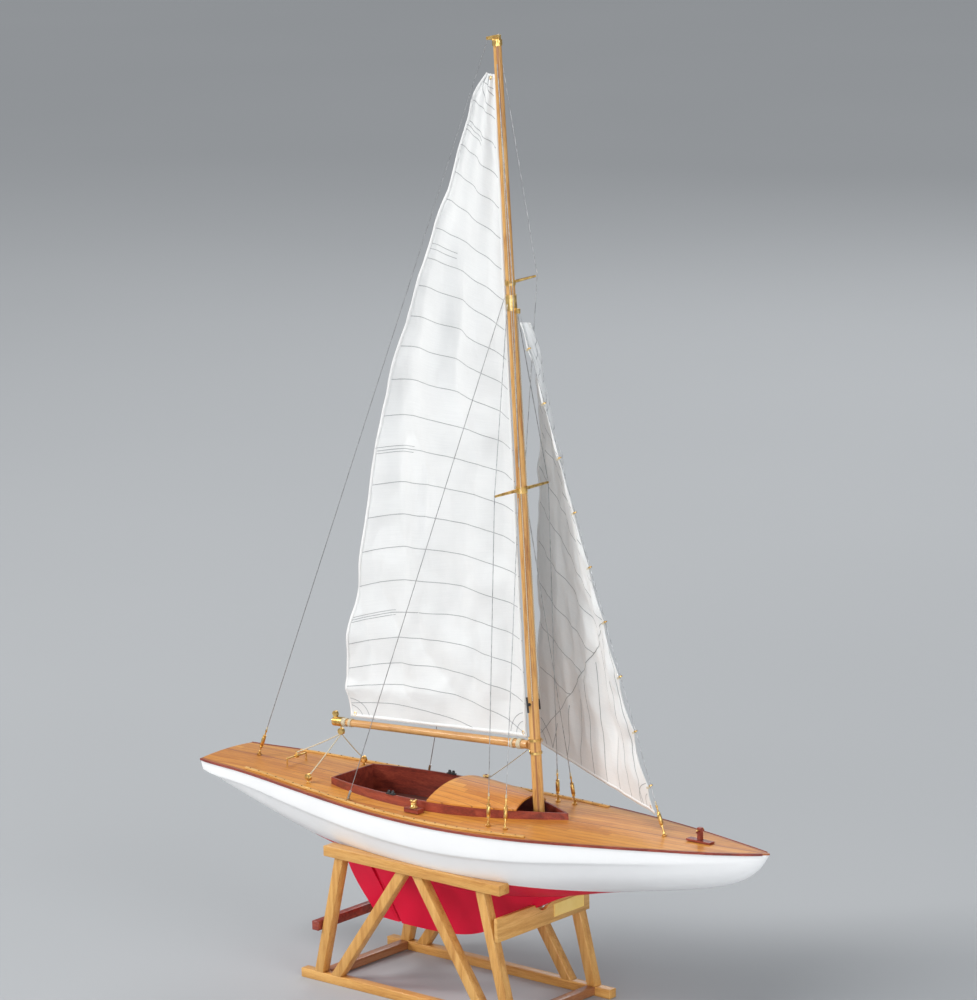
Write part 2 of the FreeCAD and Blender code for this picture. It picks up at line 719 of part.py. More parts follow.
def make_jumper_struts(mast):
    """Pair of short struts that point forward from the mast."""
    pieces = [mast_band(JUMPER_Z, 5.0)]
    for side in (-1.0, 1.0):
        pieces.append(taper(mast_point(JUMPER_Z), jumper_tip(side), 1.7, 1.1))
    return fused(pieces).cut(mast)


def hounds_eye(side):
    """Where a cap shroud is pinned to the hounds band."""
    return mast_point(HOUNDS_Z) + Vector(0, side * (mast_radius(HOUNDS_Z) + BAND_WALL + 0.8), -1.0)


def forestay_head():
    """Where the forestay is pinned."""
    return mast_point(HOUNDS_Z - 8.0) + Vector(mast_radius(HOUNDS_Z) + 4.5, 0, 0)


def make_hounds_band(mast):
    """Band with tangs for the forestay, the cap shrouds and the running backstays."""
    nose = forestay_head()
    root = mast_point(nose.z)
    tang = box((root.x, -1.0, nose.z - 2.5), (nose.x + 1.2, 1.0, nose.z + 2.5))
    pieces = [mast_band(HOUNDS_Z, 16.0), tang]
    return fused(pieces).cut(mast)


def make_mast_cleats():
    """Black halyard cleats on both sides of the mast."""
    cleats = []
    for side in (-1.0, 1.0):
        centre = mast_point(CLEAT_Z) + Vector(0, side * (mast_radius(CLEAT_Z) + 0.1), 0)
        base = rod(centre, centre + Vector(0, side * 3.0, 0), 1.6)
        horn_mid = centre + Vector(0, side * 3.4, 0)
        horns = rod(horn_mid + Vector(0.9, 0, -8.0), horn_mid + Vector(-0.9, 0, 8.0), 1.1)
        cleats.append(fused([base, horns]))
    return cleats


def make_turnbuckle(foot, head):
    """Rigging screw: threaded ends in a fatter barrel."""
    way = (head - foot).normalize()
    half = 0.18 * TURNBUCKLE_LENGTH
    end = foot + way * TURNBUCKLE_LENGTH
    barrel = rod(foot + way * half, end - way * half, TURNBUCKLE_RADIUS)
    return fused([rod(foot, end, 0.55 * TURNBUCKLE_RADIUS), barrel])


def along(start, end, distance):
    """Point a distance along a straight line."""
    return start + (end - start).normalize() * distance


def spreader_tip(side):
    """Notch at the end of a spreader, where the cap shroud bears."""
    return mast_point(SPREADER_Z) + Vector(0, side * (SPREADER_HALF + 1.0 + WIRE_RADIUS + SEAT_GAP), 0)


def chainplate_head(x, side):
    """Top of a chainplate."""
    return Vector(x, side * CHAINPLATE_Y, deck_height(x, CHAINPLATE_Y) + 2.5)


def shroud_lines():
    """Foot and upper points of the four shrouds."""
    lines = []
    for side in (-1.0, 1.0):
        lower_head = mast_point(SPREADER_Z - 8.0) + Vector(0, side * (mast_radius(SPREADER_Z) + 0.6), 0)
        lines.append([chainplate_head(CAP_SHROUD_X, side), spreader_tip(side), hounds_eye(side)])
        lines.append([chainplate_head(LOWER_SHROUD_X, side), lower_head])
    return lines


def forestay_foot():
    """Deck end of the forestay."""
    return Vector(FORESTAY_DECK_X, 0, deck_height(FORESTAY_DECK_X, 0.0) + 2.5)


def backstay_line():
    """Deck end and masthead end of the backstay."""
    top = mast_point(MAST_TOP_Z)
    foot = Vector(BACKSTAY_DECK_X, 0, deck_height(BACKSTAY_DECK_X, 0.0) + 2.5)
    return [foot, Vector(top.x - CRANE_REACH + 0.5, 0, top.z - 1.1)]


def make_turnbuckles():
    """Six rigging screws: four shrouds, the forestay and the backstay."""
    lines = shroud_lines() + [[forestay_foot(), forestay_head()], backstay_line()]
    return [make_turnbuckle(line[0], line[1]) for line in lines]


def make_chainplates():
    """Deck eyes under the rigging screws and the running backstays."""
    feet = [line[0] for line in shroud_lines()] + [forestay_foot(), backstay_line()[0]]
    plates = []
    for foot in feet + [runner_foot(-1.0), runner_foot(1.0)]:
        deck = deck_height(foot.x, foot.y)
        plates.append(rod(Vector(foot.x, foot.y, deck + 0.5), Vector(foot.x, foot.y, foot.z - 0.5), 2.6))
    return plates


def make_shrouds():
    """Two cap shrouds over the spreaders and two lower shrouds."""
    wires = []
    for line in shroud_lines():
        start = along(line[0], line[1], TURNBUCKLE_LENGTH + SEAT_GAP)
        wires.append(wire_run([start] + line[1:], WIRE_RADIUS))
    return wires


def make_forestay():
    """Stay from the bow to the hounds, which the jib is hanked to."""
    foot, head = forestay_foot(), forestay_head()
    return rod(along(foot, head, TURNBUCKLE_LENGTH + SEAT_GAP), along(head, foot, 1.9), WIRE_RADIUS)


def make_backstay():
    """Stay from the stern to the masthead."""
    foot, head = backstay_line()
    return rod(along(foot, head, TURNBUCKLE_LENGTH + SEAT_GAP), along(head, foot, 0.5), WIRE_RADIUS)


def runner_foot(side):
    """Deck end of a running backstay."""
    y = half_breadth(RUNNER_DECK_X) - RUNNER_INSET - TOE_INSET
    return Vector(RUNNER_DECK_X, side * y, deck_height(RUNNER_DECK_X, y) + 2.5)


def runner_head(side):
    """Mast end of a running backstay."""
    z = HOUNDS_Z + 4.0
    out = mast_radius(z) + BAND_WALL + 0.6
    return mast_point(z) + Vector(-0.8 * out, side * 0.8 * out, 0)


def make_running_backstays():
    """Pair of stays that lead aft from the hounds to the deck edge beside the cockpit."""
    wires = []
    for side in (-1.0, 1.0):
        foot, head = runner_foot(side), runner_head(side)
        tackle = rod(foot + Vector(0, 0, 0.1), along(foot, head, 9.0), 1.3)
        wires.append(fused([tackle, rod(along(foot, head, 8.0), head, WIRE_RADIUS)]))
    return wires


def make_jumper_stays():
    """Wires from the masthead over the struts to the mast under the hounds."""
    wires = []
    for side in (-1.0, 1.0):
        high_z, low_z = MAST_TOP_Z - 24.0, SPREADER_Z + 24.0
        out = Vector(0.4, side * 0.9, 0)
        tip = jumper_tip(side) + Vector(0.71, side * 0.71, 0.2) * (1.1 + WIRE_RADIUS)
        high = mast_point(high_z) + out * (mast_radius(high_z) + WIRE_RADIUS)
        low = mast_point(low_z) + out * (mast_radius(low_z) + WIRE_RADIUS)
        wires.append(wire_run([high, tip, low], WIRE_RADIUS))
    return wires


def make_partner(mast):
    """Block across the mast well that holds the mast at deck level."""
    half = coaming_half(MAST_X + 0.5 * PARTNER_LENGTH, COAMING_WALL) - 0.4
    top = deck_height(MAST_X, 0.0) - 1.0
    low = (MAST_X - 0.5 * PARTNER_LENGTH, -half, top - PARTNER_THICKNESS)
    return box(low, (MAST_X + 0.5 * PARTNER_LENGTH, half, top)).cut(mast)


def make_mast_step(mast, hull_room):
    """Block on the hull's floor with the socket for the mast's heel."""
    heel = mast_point(MAST_HEEL_Z)
    block = box((heel.x - 16.0, -12.0, 100.0), (heel.x + 16.0, 12.0, MAST_HEEL_Z + 5.0))
    return block.common(hull_room).cut(mast)


# ---------------------------------------------------------------- boom and sails

def boom_root():
    """Forward end of the boom's axis."""
    mast = mast_point(GOOSENECK_Z)
    return mast + Vector(-(mast_radius(GOOSENECK_Z) + BOOM_MAST_GAP), 0, 0)


def boom_way():
    """Direction of the boom, aft, drooping and slightly out to port."""
    flat = math.cos(BOOM_DROOP)
    return Vector(-flat * math.cos(BOOM_OUT), flat * math.sin(BOOM_OUT), -math.sin(BOOM_DROOP))


def gooseneck_axis():
    """Point on the axis that the boom turns about, and that axis's direction, up the mast."""
    way = (mast_point(MAST_TOP_Z) - mast_point(GOOSENECK_Z)).normalize()
    return boom_root() + Vector(1.2, 0, 0), way


def make_gooseneck(mast):
    """Bracket on the mast with the upright pin that the boom swings on."""
    point, way = gooseneck_axis()
    pin = Part.makeCylinder(0.9, 17.0, point - way * 8.5, way)
    pieces = [pin]
    for shift in (-6.8, 6.8):
        z = GOOSENECK_Z + shift
        foot = mast_point(z)
        pieces.append(rod(foot, point + way * shift, 1.3))
        pieces.append(mast_band(z, 2.6))
    return fused(pieces).cut(mast)


def make_boom():
    """Boom with its pivot eye bored for the gooseneck pin."""
    point, way = gooseneck_axis()
    end = boom_root() + boom_way() * BOOM_LENGTH
    spar = taper(boom_root() + boom_way() * 0.2, end, BOOM_RADIUS, BOOM_RADIUS - 0.8)
    eye = Part.makeCylinder(2.0, 8.0, point - way * 4.0, way)
    body = fused([spar, eye])
    clearance = Part.makeCylinder(0.9 + SHAFT_CLEARANCE, 40.0, point - way * 20.0, way)
    swing_room = mast_band(GOOSENECK_Z, 40.0, BOOM_RING_GAP)
    return body.cut(clearance).cut(swing_room)


def boom_end():
    """Aft end of the boom's axis."""
    return boom_root() + boom_way() * BOOM_LENGTH


def sheet_block_eye():
    """Eye under the boom's end that the mainsheet runs through."""
    return boom_root() + boom_way() * (BOOM_LENGTH - 8.0) + Vector(0, 0, -(BOOM_RADIUS + 6.0))


def make_boom_end_fitting(boom):
    """Brass cap with the outhaul sheave above and the mainsheet block below."""
    end = boom_end()
    way = boom_way()
    cap = rod(end - way * 12.0, end + way * 1.5, BOOM_RADIUS + 0.5)
    head = Vector(0, 0, BOOM_RADIUS + 3.5)
    sheave = rod(end + head + Vector(0, -1.5, 0), end + head + Vector(0, 1.5, 0), 3.4)
    neck = rod(end - way * 2.0, end + head, 1.0)
    eye = sheet_block_eye()
    block = rod(eye + Vector(0, -2.0, 0), eye + Vector(0, 2.0, 0), 3.6)
    strap = rod(eye, eye + Vector(0, 0, 7.0), 1.0)
    return fused([cap, neck, sheave, strap, block]).cut(boom)


def sail_solid(point_at, rows, columns):
    """Thin curved solid through a grid of points, given its thickness to port."""
    grid = [[point_at(i / (rows - 1.0), j / (columns - 1.0)) for j in range(columns)] for i in range(rows)]
    surface = Part.BSplineSurface()
    surface.interpolate(grid)
    return surface.toShape().extrude(Vector(0, SAIL_THICKNESS, 0))


def main_point(up, back):
    """Point of the mainsail: up from the foot to the head, back from the luff to the leech."""
    foot_z = boom_root().z + BOOM_RADIUS + SAIL_BOOM_GAP
    z = foot_z + up * (MAIN_HEAD_Z - foot_z)
    mast = mast_point(z)
    luff_x = mast.x - mast_radius(z) - SAIL_BOOM_GAP
    if up < 0.02:
        luff_x -= 3.0
    straight = MAIN_HEAD_WIDTH + (MAIN_FOOT - MAIN_HEAD_WIDTH) * (1.0 - up)
    chord = straight + ROACH * math.sin(math.pi * up ** 0.92)
    belly = MAIN_BELLY * chord * 4.0 * back * (1.0 - back) * math.sin(math.pi * min(up + 0.06, 1.0))
    droop = (1.0 - up) ** 2 * back * MAIN_FOOT * math.tan(BOOM_DROOP)
    twist = back * MAIN_TWIST * up * (1.0 - up) * 4.0 * 0.5
    aft = math.cos(BOOM_OUT) * chord * back
    out = math.sin(BOOM_OUT) * chord * back + belly + twist
    return Vector(luff_x - aft, out, z - droop)


def jib_point(up, back):
    """Point of the jib: up from the tack to the head, back from the stay to the leech."""
    foot, head = forestay_foot(), forestay_head()
    tack = along(foot, head, JIB_TACK_RISE)
    top = along(head, foot, JIB_HEAD_DROP)
    luff = tack + (top - tack) * up
    point = luff + (through(JIB_LEECH, up) - luff) * back
    sag = 4.0 * back * (1.0 - back)
    beside_screw = JIB_SCREW_GAP * max(0.0, 1.0 - 8.0 * up)
    gap = Vector(-JIB_STAY_GAP - WIRE_RADIUS - beside_screw, 0, 0) * (1.0 - back)
    return point + gap + Vector(0, JIB_BELLY * sag * (1.0 - 0.8 * up), -6.0 * sag * (1.0 - up) ** 3)


def make_jib_hanks():
    """Small rings that hold the jib's luff to the forestay."""
    hanks = []
    foot, head = forestay_foot(), forestay_head()
    way = (head - foot).normalize()
    for k in range(HANK_COUNT):
        share = (k + 0.5) / HANK_COUNT
        edge = jib_point(share, 0.0)
        centre = foot + way * (edge - foot).dot(way)
        ring = Part.makeCylinder(HANK_RADIUS, 1.4, centre, way)
        hanks.append(ring.cut(Part.makeCylinder(WIRE_RADIUS + 0.35, 8.0, centre - way * 4.0, way)))
    return hanks


# ---------------------------------------------------------------- deck fittings

def make_deck_blocks():
    """Pair of sheet blocks that stand on the deck behind the cockpit."""
    blocks = []
    for side in (-1.0, 1.0):
        deck = Vector(BLOCK_X, side * BLOCK_Y, deck_height(BLOCK_X, BLOCK_Y) + 0.2)
        base = rod(deck, deck + Vector(0, 0, 3.0), 2.2)
        centre = deck + Vector(0, 0, 6.0)
        cheek = rod(centre + Vector(0, -1.8, 0), centre + Vector(0, 1.8, 0), 3.8)
        blocks.append(fused([base, cheek]))
    return blocks


def make_horse():
    """Low brass arch that the mainsheet traveller slides along."""
    z = deck_height(HORSE_X, HORSE_HALF) + 0.2
    top = z + HORSE_HEIGHT
    points = [Vector(HORSE_X, -HORSE_HALF, z), Vector(HORSE_X, -HORSE_HALF, top)]
    points += [Vector(HORSE_X, HORSE_HALF, top), Vector(HORSE_X, HORSE_HALF, z)]
    return wire_run(points, HORSE_RADIUS)


def make_traveller():
    """Ring that slides along the horse."""
    centre = Vector(HORSE_X, 0, deck_height(HORSE_X, HORSE_HALF) + 0.2 + HORSE_HEIGHT)
    half = Vector(0, 1.5, 0)
    ring = rod(centre - half, centre + half, TRAVELLER_RADIUS)
    eye = rod(centre + Vector(0, 0, 1.6), centre + Vector(0, 0, 5.0), 1.0)
    bore = rod(centre - half * 4.0, centre + half * 4.0, HORSE_RADIUS + SHAFT_CLEARANCE)
    return fused([ring, eye]).cut(bore)


def winch_base(side):
    """Top centre of a winch's wooden pad."""
    z = deck_height(WINCH_X, WINCH_Y) + WINCH_PAD[2]
    return Vector(WINCH_X, side * WINCH_Y, z)


def make_winch_pads():
    """Mahogany pads beside the coaming, each with the pin of its winch."""
    pads = []
    for side in (-1.0, 1.0):
        top = winch_base(side)
        half_x, half_y = 0.5 * WINCH_PAD[0], 0.5 * WINCH_PAD[1]
        low = (top.x - half_x, top.y - half_y, deck_height(WINCH_X, WINCH_Y - half_y) + 0.2)
        pad = box(low, (top.x + half_x, top.y + half_y, top.z))
        pin = rod(top - Vector(0, 0, 2.0), top + Vector(0, 0, WINCH_DRUM_HEIGHT + 0.6), 1.2)
        pads.append(fused([pad, pin]))
    return pads


def make_winch_drum(side):
    """Waisted drum of a sheet winch, turning on its pin."""
    foot = winch_base(side) + Vector(0, 0, MOVING_GAP)
    wide, narrow = WINCH_DRUM_RADIUS, 0.62 * WINCH_DRUM_RADIUS
    height = WINCH_DRUM_HEIGHT
    rim = 0.9 * wide
    profile = [(0, 0), (wide, 0), (wide, 0.2), (narrow, 0.4), (narrow, 0.78), (rim, 0.88), (rim, 1), (0, 1)]
    outline = [foot + Vector(r, 0, share * height) for r, share in profile]
    face = Part.Face(Part.makePolygon(outline + [outline[0]]))
    drum = face.revolve(foot, Vector(0, 0, 1), 360)
    bore = rod(foot - Vector(0, 0, 5.0), foot + Vector(0, 0, 30.0), 1.2 + SHAFT_CLEARANCE)
    return drum.cut(bore)


def make_bow_post():
    """Mooring post on its pad, with a cross pin."""
    half = 0.5 * BOW_PAD_LENGTH
    z = deck_height(BOW_POST_X + half, 0.0)
    pad = box((BOW_POST_X - half, -4.0, z + 0.1), (BOW_POST_X + half, 4.0, z + 2.2))
    post = box((BOW_POST_X - 2.2, -2.2, z + 1.0), (BOW_POST_X + 2.2, 2.2, z + BOW_POST_HEIGHT))
    pin_z = z + BOW_POST_HEIGHT - 4.0
    pin = rod(Vector(BOW_POST_X, -6.0, pin_z), Vector(BOW_POST_X, 6.0, pin_z), 0.8)
    return fused([pad, post, pin])


def make_mainsheet():
    """Falls of the mainsheet: traveller to boom, and boom to each deck block."""
    eye = sheet_block_eye()
    traveller = Vector(HORSE_X, 0, deck_height(HORSE_X, HORSE_HALF) + HORSE_HEIGHT + 6.1)
    falls = [rod(traveller, along(eye, traveller, 3.9), SHEET_RADIUS)]
    for side in (-1.0, 1.0):
        block = Vector(BLOCK_X, side * BLOCK_Y, deck_height(BLOCK_X, BLOCK_Y) + 10.3)
        falls.append(rod(block, along(eye, block, 4.6), SHEET_RADIUS))
    return falls


# ---------------------------------------------------------------- radio gear under the cockpit floor

def make_tray(hull_room):
    """Plywood tray across the hull that carries the radio gear."""
    board = box((TRAY_AFT_X, -90.0, TRAY_Z - TRAY_THICKNESS), (TRAY_FORE_X, 90.0, TRAY_Z))
    return board.common(hull_room)


def tilted_box(size, top_point):
    """Box square to the rudder axis, whose top face is centred on a point."""
    block = box((-0.5 * size[0], -0.5 * size[1], -size[2]), (0.5 * size[0], 0.5 * size[1], 0.0))
    block.rotate(Vector(0, 0, 0), Vector(0, 1, 0), -math.degrees(POST_RAKE))
    block.translate(top_point)
    return block


def make_rudder_servo():
    """Steering servo, tilted to match the raked stock, with its output shaft."""
    top = servo_arm_axis() - post_way() * (0.5 * ARM_THICKNESS + 1.4)
    case = tilted_box(SERVO_SIZE, top)
    shaft = Part.makeCylinder(1.5, 5.0, top - post_way() * 1.0, post_way())
    foot = box((top.x + 2.0, -7.0, TRAY_Z + SEAT_GAP), (top.x + 22.0, 7.0, top.z - 18.0))
    return fused([case, shaft, foot]), shaft


def make_winch_servo():
    """Sail winch servo with its output shaft."""
    length, width, height = WINCH_SERVO_SIZE
    low = (WINCH_SERVO_X, -0.5 * width, TRAY_Z + SEAT_GAP)
    case = box(low, (low[0] + length, 0.5 * width, low[2] + height))
    shaft = rod(Vector(-14.0, 0, low[2] + height - 1.0), Vector(-14.0, 0, low[2] + height + 9.5), 2.0)
    return fused([case, shaft])


def make_sheet_drum():
    """Grooved drum that winds the mainsheet."""
    z = TRAY_Z + SEAT_GAP + WINCH_SERVO_SIZE[2] + MOVING_GAP
    foot = Vector(-14.0, 0, z)
    rim = 0.25
    profile = [(0, 0), (1, 0), (1, rim), (0.72, 0.5), (1, 1 - rim), (1, 1), (0, 1)]
    outline = [foot + Vector(r * DRUM_RADIUS, 0, share * DRUM_HEIGHT) for r, share in profile]
    face = Part.Face(Part.makePolygon(outline + [outline[0]]))
    drum = face.revolve(foot, Vector(0, 0, 1), 360)
    return drum.cut(rod(foot - Vector(0, 0, 4), foot + Vector(0, 0, 20), 2.0 + SHAFT_CLEARANCE))


def make_battery():
    """Battery pack in front of the sail winch servo."""
    length, width, height = BATTERY_SIZE
    low = (BATTERY_X, -0.5 * width, TRAY_Z + SEAT_GAP)
    return box(low, (BATTERY_X + length, 0.5 * width, TRAY_Z + height))


def make_receiver():
    """Radio receiver beside the sail winch servo."""
    length, width, height = RECEIVER_SIZE
    low = (RECEIVER_X, RECEIVER_Y, TRAY_Z + SEAT_GAP)
    return box(low, (RECEIVER_X + length, RECEIVER_Y + width, TRAY_Z + height))


def switch_place():
    """Centre of the switch's face on the inside of the starboard coaming."""
    half = coaming_half(SWITCH_X, COAMING_WALL)
    return Vector(SWITCH_X, SWITCH_SIZE[1] + 1.4 - half, SWITCH_Z)


def make_switch():
    """Body of the power switch."""
    face = switch_place()
    length, depth, height = SWITCH_SIZE
    low = (face.x - 0.5 * length, face.y - depth, face.z - 0.5 * height)
    body = box(low, (face.x + 0.5 * length, face.y, face.z + 0.5 * height))
    slot = box((face.x - 3.6, face.y - 3.0, face.z - 1.4), (face.x + 3.6, face.y + 1.0, face.z + 1.4))
    return body.cut(slot)


def make_switch_lever():
    """Toggle of the power switch, which tips fore and aft."""
    face = switch_place()
    return rod(face + Vector(0, -2.2, 0), face + Vector(0, LEVER_REACH, 0), 0.9)


# ---------------------------------------------------------------- stand

def leg_line(foot_x, lean, side):
    """Axis of one leg or brace, from the base rail to the top rail."""
    foot = Vector(foot_x, side * STAND_HALF, BASE_HEIGHT)
    return foot, Vector(foot_x + lean, side * STAND_HALF, RAIL_TOP_Z - RAIL_HEIGHT)


def stand_bars(feet):
    """Bars on both sides of the stand, trimmed flush to the rails."""
    bars = []
    keep = box((-400, -200, BASE_HEIGHT), (400, 200, RAIL_TOP_Z - RAIL_HEIGHT))
    for foot_x, head_x in feet:
        for side in (-1.0, 1.0):
            start, end = leg_line(foot_x, head_x - foot_x, side)
            way = (end - start).normalize() * 12.0
            bars.append(square_bar(start - way, end + way, BAR, Vector(0, 1, 0)).common(keep))
    return bars


def make_legs():
    """Four legs that lean towards the middle."""
    aft = (LEG_FOOT_AFT_X, LEG_FOOT_AFT_X + LEG_LEAN)
    fore = (LEG_FOOT_FORE_X, LEG_FOOT_FORE_X - LEG_LEAN)
    return stand_bars([aft, fore])


def make_braces(legs):
    """Four diagonal braces, cut where their feet meet the legs."""
    bars = stand_bars([(BRACE_FOOT_AFT_X, BRACE_HEAD_AFT_X), (BRACE_FOOT_FORE_X, BRACE_HEAD_FORE_X)])
    trimmed = []
    for bar in bars:
        for leg in legs:
            bar = bar.cut(leg)
        trimmed.append(bar)
    return trimmed


def make_top_rails(hull_clear):
    """Rails that the hull rests in, hollowed to its shape, with rounded ends."""
    rails = []
    for side in (-1.0, 1.0):
        y = side * STAND_HALF
        low = (RAIL_AFT_X, y - 0.5 * RAIL_WIDTH, RAIL_TOP_Z - RAIL_HEIGHT)
        rail = box(low, (RAIL_FORE_X, y + 0.5 * RAIL_WIDTH, RAIL_TOP_Z))
        rails.append(rail.cut(hull_clear))
    return rails


def make_base_rails():
    """Rails on the floor."""
    rails = []
    for side in (-1.0, 1.0):
        low = (LEG_FOOT_AFT_X - BASE_OVERHANG, side * STAND_HALF - 0.5 * BAR, 0.0)
        rails.append(box(low, (LEG_FOOT_FORE_X + BASE_OVERHANG, side * STAND_HALF + 0.5 * BAR, BASE_HEIGHT)))
    return rails


def make_crossbars():
    """Two bars that tie the base rails together."""
    half = STAND_HALF - 0.5 * BAR
    bars = []
    for x in (LEG_FOOT_AFT_X, LEG_FOOT_FORE_X):
        bars.append(box((x - 0.5 * BAR, -half, 1.0), (x + 0.5 * BAR, half, BASE_HEIGHT)))
    return bars


def make_mid_bar():
    """Dark bar behind the aft legs."""
    half = STAND_HALF + 0.5 * BAR + 4.0
    rise = (MID_BAR_Z - 5.0 - BASE_HEIGHT) / (RAIL_TOP_Z - RAIL_HEIGHT - BASE_HEIGHT)
    leg_x = LEG_FOOT_AFT_X + LEG_LEAN * rise
    face_x = leg_x - 0.5 * BAR - 1.3
    return box((face_x - 9.0, -half, MID_BAR_Z - 5.0), (face_x, half, MID_BAR_Z + 5.0))


def board_face():
    """Forward face of the cradle board."""
    share = (BOARD_LOW_Z - BASE_HEIGHT) / (RAIL_TOP_Z - RAIL_HEIGHT - BASE_HEIGHT)
    leg_x = LEG_FOOT_FORE_X - LEG_LEAN * share
    return leg_x + 0.5 * BAR + 1.0 + BOARD_THICKNESS


def make_cradle_board(keel):
    """Board across the forward legs, notched for the forefoot."""
    half = STAND_HALF + 0.5 * BAR
    front = board_face()
    board = box((front - BOARD_THICKNESS, -half, BOARD_LOW_Z), (front, half, BOARD_TOP_Z))
    notch_z = BOARD_TOP_Z + 3.0
    notch = rod(Vector(front - 20, 0, notch_z), Vector(front + 20, 0, notch_z), BOARD_NOTCH_HALF)
    board = board.cut(notch)
    gap = CRADLE_CLEARANCE
    for shift in ((0, gap, 0), (0, -gap, 0), (0, 0, -gap), (gap, 0, 0), (0, 0, gap)):
        board = board.cut(keel.translated(Vector(*shift)))
    return board


def make_name_plate():
    """Blank brass plate on the cradle board."""
    front = board_face() + SEAT_GAP
    thickness, length, height = PLATE_SIZE
    low = (front, 16.0, 0.5 * (BOARD_LOW_Z + BOARD_TOP_Z) - 0.5 * height)
    return box(low, (front + thickness, 16.0 + length, low[2] + height))


# ---------------------------------------------------------------- assembly

def build_hull_parts():
    """Hull, keel, rudder and steering."""
    form = hull_form()
    fin = fin_form()
    tube_hole, tube = make_rudder_tube()
    stock_bar, stock = make_rudder_stock()
    opening = plan_prism(0.0, COAMING_AFT_X, COAMING_TIP_X, 150.0, 260.0)
    half_length = 0.5 * HULL_LENGTH
    hull_room = hull_form(-HULL_SKIN - MOVING_GAP, 0.0, TRANSOM_SKIN - half_length, half_length - BOW_BLOCK)
    keel, lead = make_keel(fin, form)
    blade = make_rudder_blade(fin, stock_bar)
    save("hull_shell", [make_hull_shell(form, tube_hole)])
    save("deck", [make_deck(opening)])
    save("rub_rails", make_rub_rails())
    save("toe_rails", make_toe_rails())
    save("keel_fin", [keel])
    save("keel_ballast", [lead])
    save("rudder_blade", [blade])
    save("rudder_stock", [stock])
    save("rudder_tube", [tube])
    save("rudder_pushrod", [make_pushrod()])
    servo, shaft = make_rudder_servo()
    save("rudder_servo", [servo])
    save("servo_arm", [lever(servo_arm_axis(), shaft)])
    save("coaming", [make_coaming()])
    save("coachroof", [make_coachroof()])
    save("cockpit_sole", [make_sole()])
    save("equipment_tray", [make_tray(hull_room)])
    return hull_room, keel


def build_rig_parts(hull_room):
    """Mast, its fittings and the standing rigging."""
    mast = make_mast()
    save("mast", [mast])
    save("masthead_crane", [make_crane(mast)])
    save("spreaders", [make_spreaders(mast)])
    save("jumper_struts", [make_jumper_struts(mast)])
    save("hounds_band", [make_hounds_band(mast)])
    save("mast_cleats", make_mast_cleats())
    save("gooseneck", [make_gooseneck(mast)])
    save("mast_partner", [make_partner(mast)])
    save("mast_step", [make_mast_step(mast, hull_room)])
    save("turnbuckles", make_turnbuckles())
    save("chainplates", make_chainplates())
    save("shrouds", make_shrouds())
    save("forestay", [make_forestay()])
    save("backstay", [make_backstay()])
    save("running_backstays", make_running_backstays())
    save("jumper_stays", make_jumper_stays())


def build_sail_parts():
    """Boom, sails and sheets."""
    boom = make_boom()
    save("boom", [boom])
    save("boom_end_fitting", [make_boom_end_fitting(boom)])
    save("mainsail", [sail_solid(main_point, 12, 7)])
    save("jib", [sail_solid(jib_point, 10, 7)])
    save("jib_hanks", make_jib_hanks())
    save("mainsheet", make_mainsheet())


def build_fitting_parts():
    """Deck fittings and radio gear."""
    save("deck_blocks", make_deck_blocks())
    save("mainsheet_horse", [make_horse()])
    save("sheet_traveller", [make_traveller()])
    save("winch_pads", make_winch_pads())
    save("winch_drum_starboard", [make_winch_drum(-1.0)])
    save("winch_drum_port", [make_winch_drum(1.0)])
    save("bow_post", [make_bow_post()])
    save("winch_servo", [make_winch_servo()])
    save("sheet_drum", [make_sheet_drum()])
    save("battery_pack", [make_battery()])
    save("radio_receiver", [make_receiver()])
    save("power_switch", [make_switch()])
    save("switch_lever", [make_switch_lever()])


def build_stand_parts(keel):
    """Display stand."""
    hull_clear = hull_form(CRADLE_CLEARANCE)
    legs = make_legs()
    save("stand_legs", legs)
    save("stand_braces", make_braces(legs))
    save("stand_top_rails", make_top_rails(hull_clear))
    save("stand_base_rails", make_base_rails())
    save("stand_crossbars", make_crossbars())
    save("stand_mid_bar", [make_mid_bar()])
    save("stand_cradle_board", [make_cradle_board(keel)])
    save("name_plate", [make_name_plate()])


os.makedirs("parts", exist_ok=True)
room, keel_solid = build_hull_parts()
build_rig_parts(room)
build_sail_parts()
build_fitting_parts()
build_stand_parts(keel_solid)
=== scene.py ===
"""Looks of a wooden sailing model on its stand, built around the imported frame.

Metres, +X bow, +Y port, +Z up.
"""

import json
import logging
import math
from dataclasses import dataclass, field
from enum import Enum
from typing import Any, Callable, Iterable, Sequence

import bmesh
import bpy
from mathutils import Matrix, Vector, noise
from mathutils.bvhtree import BVHTree


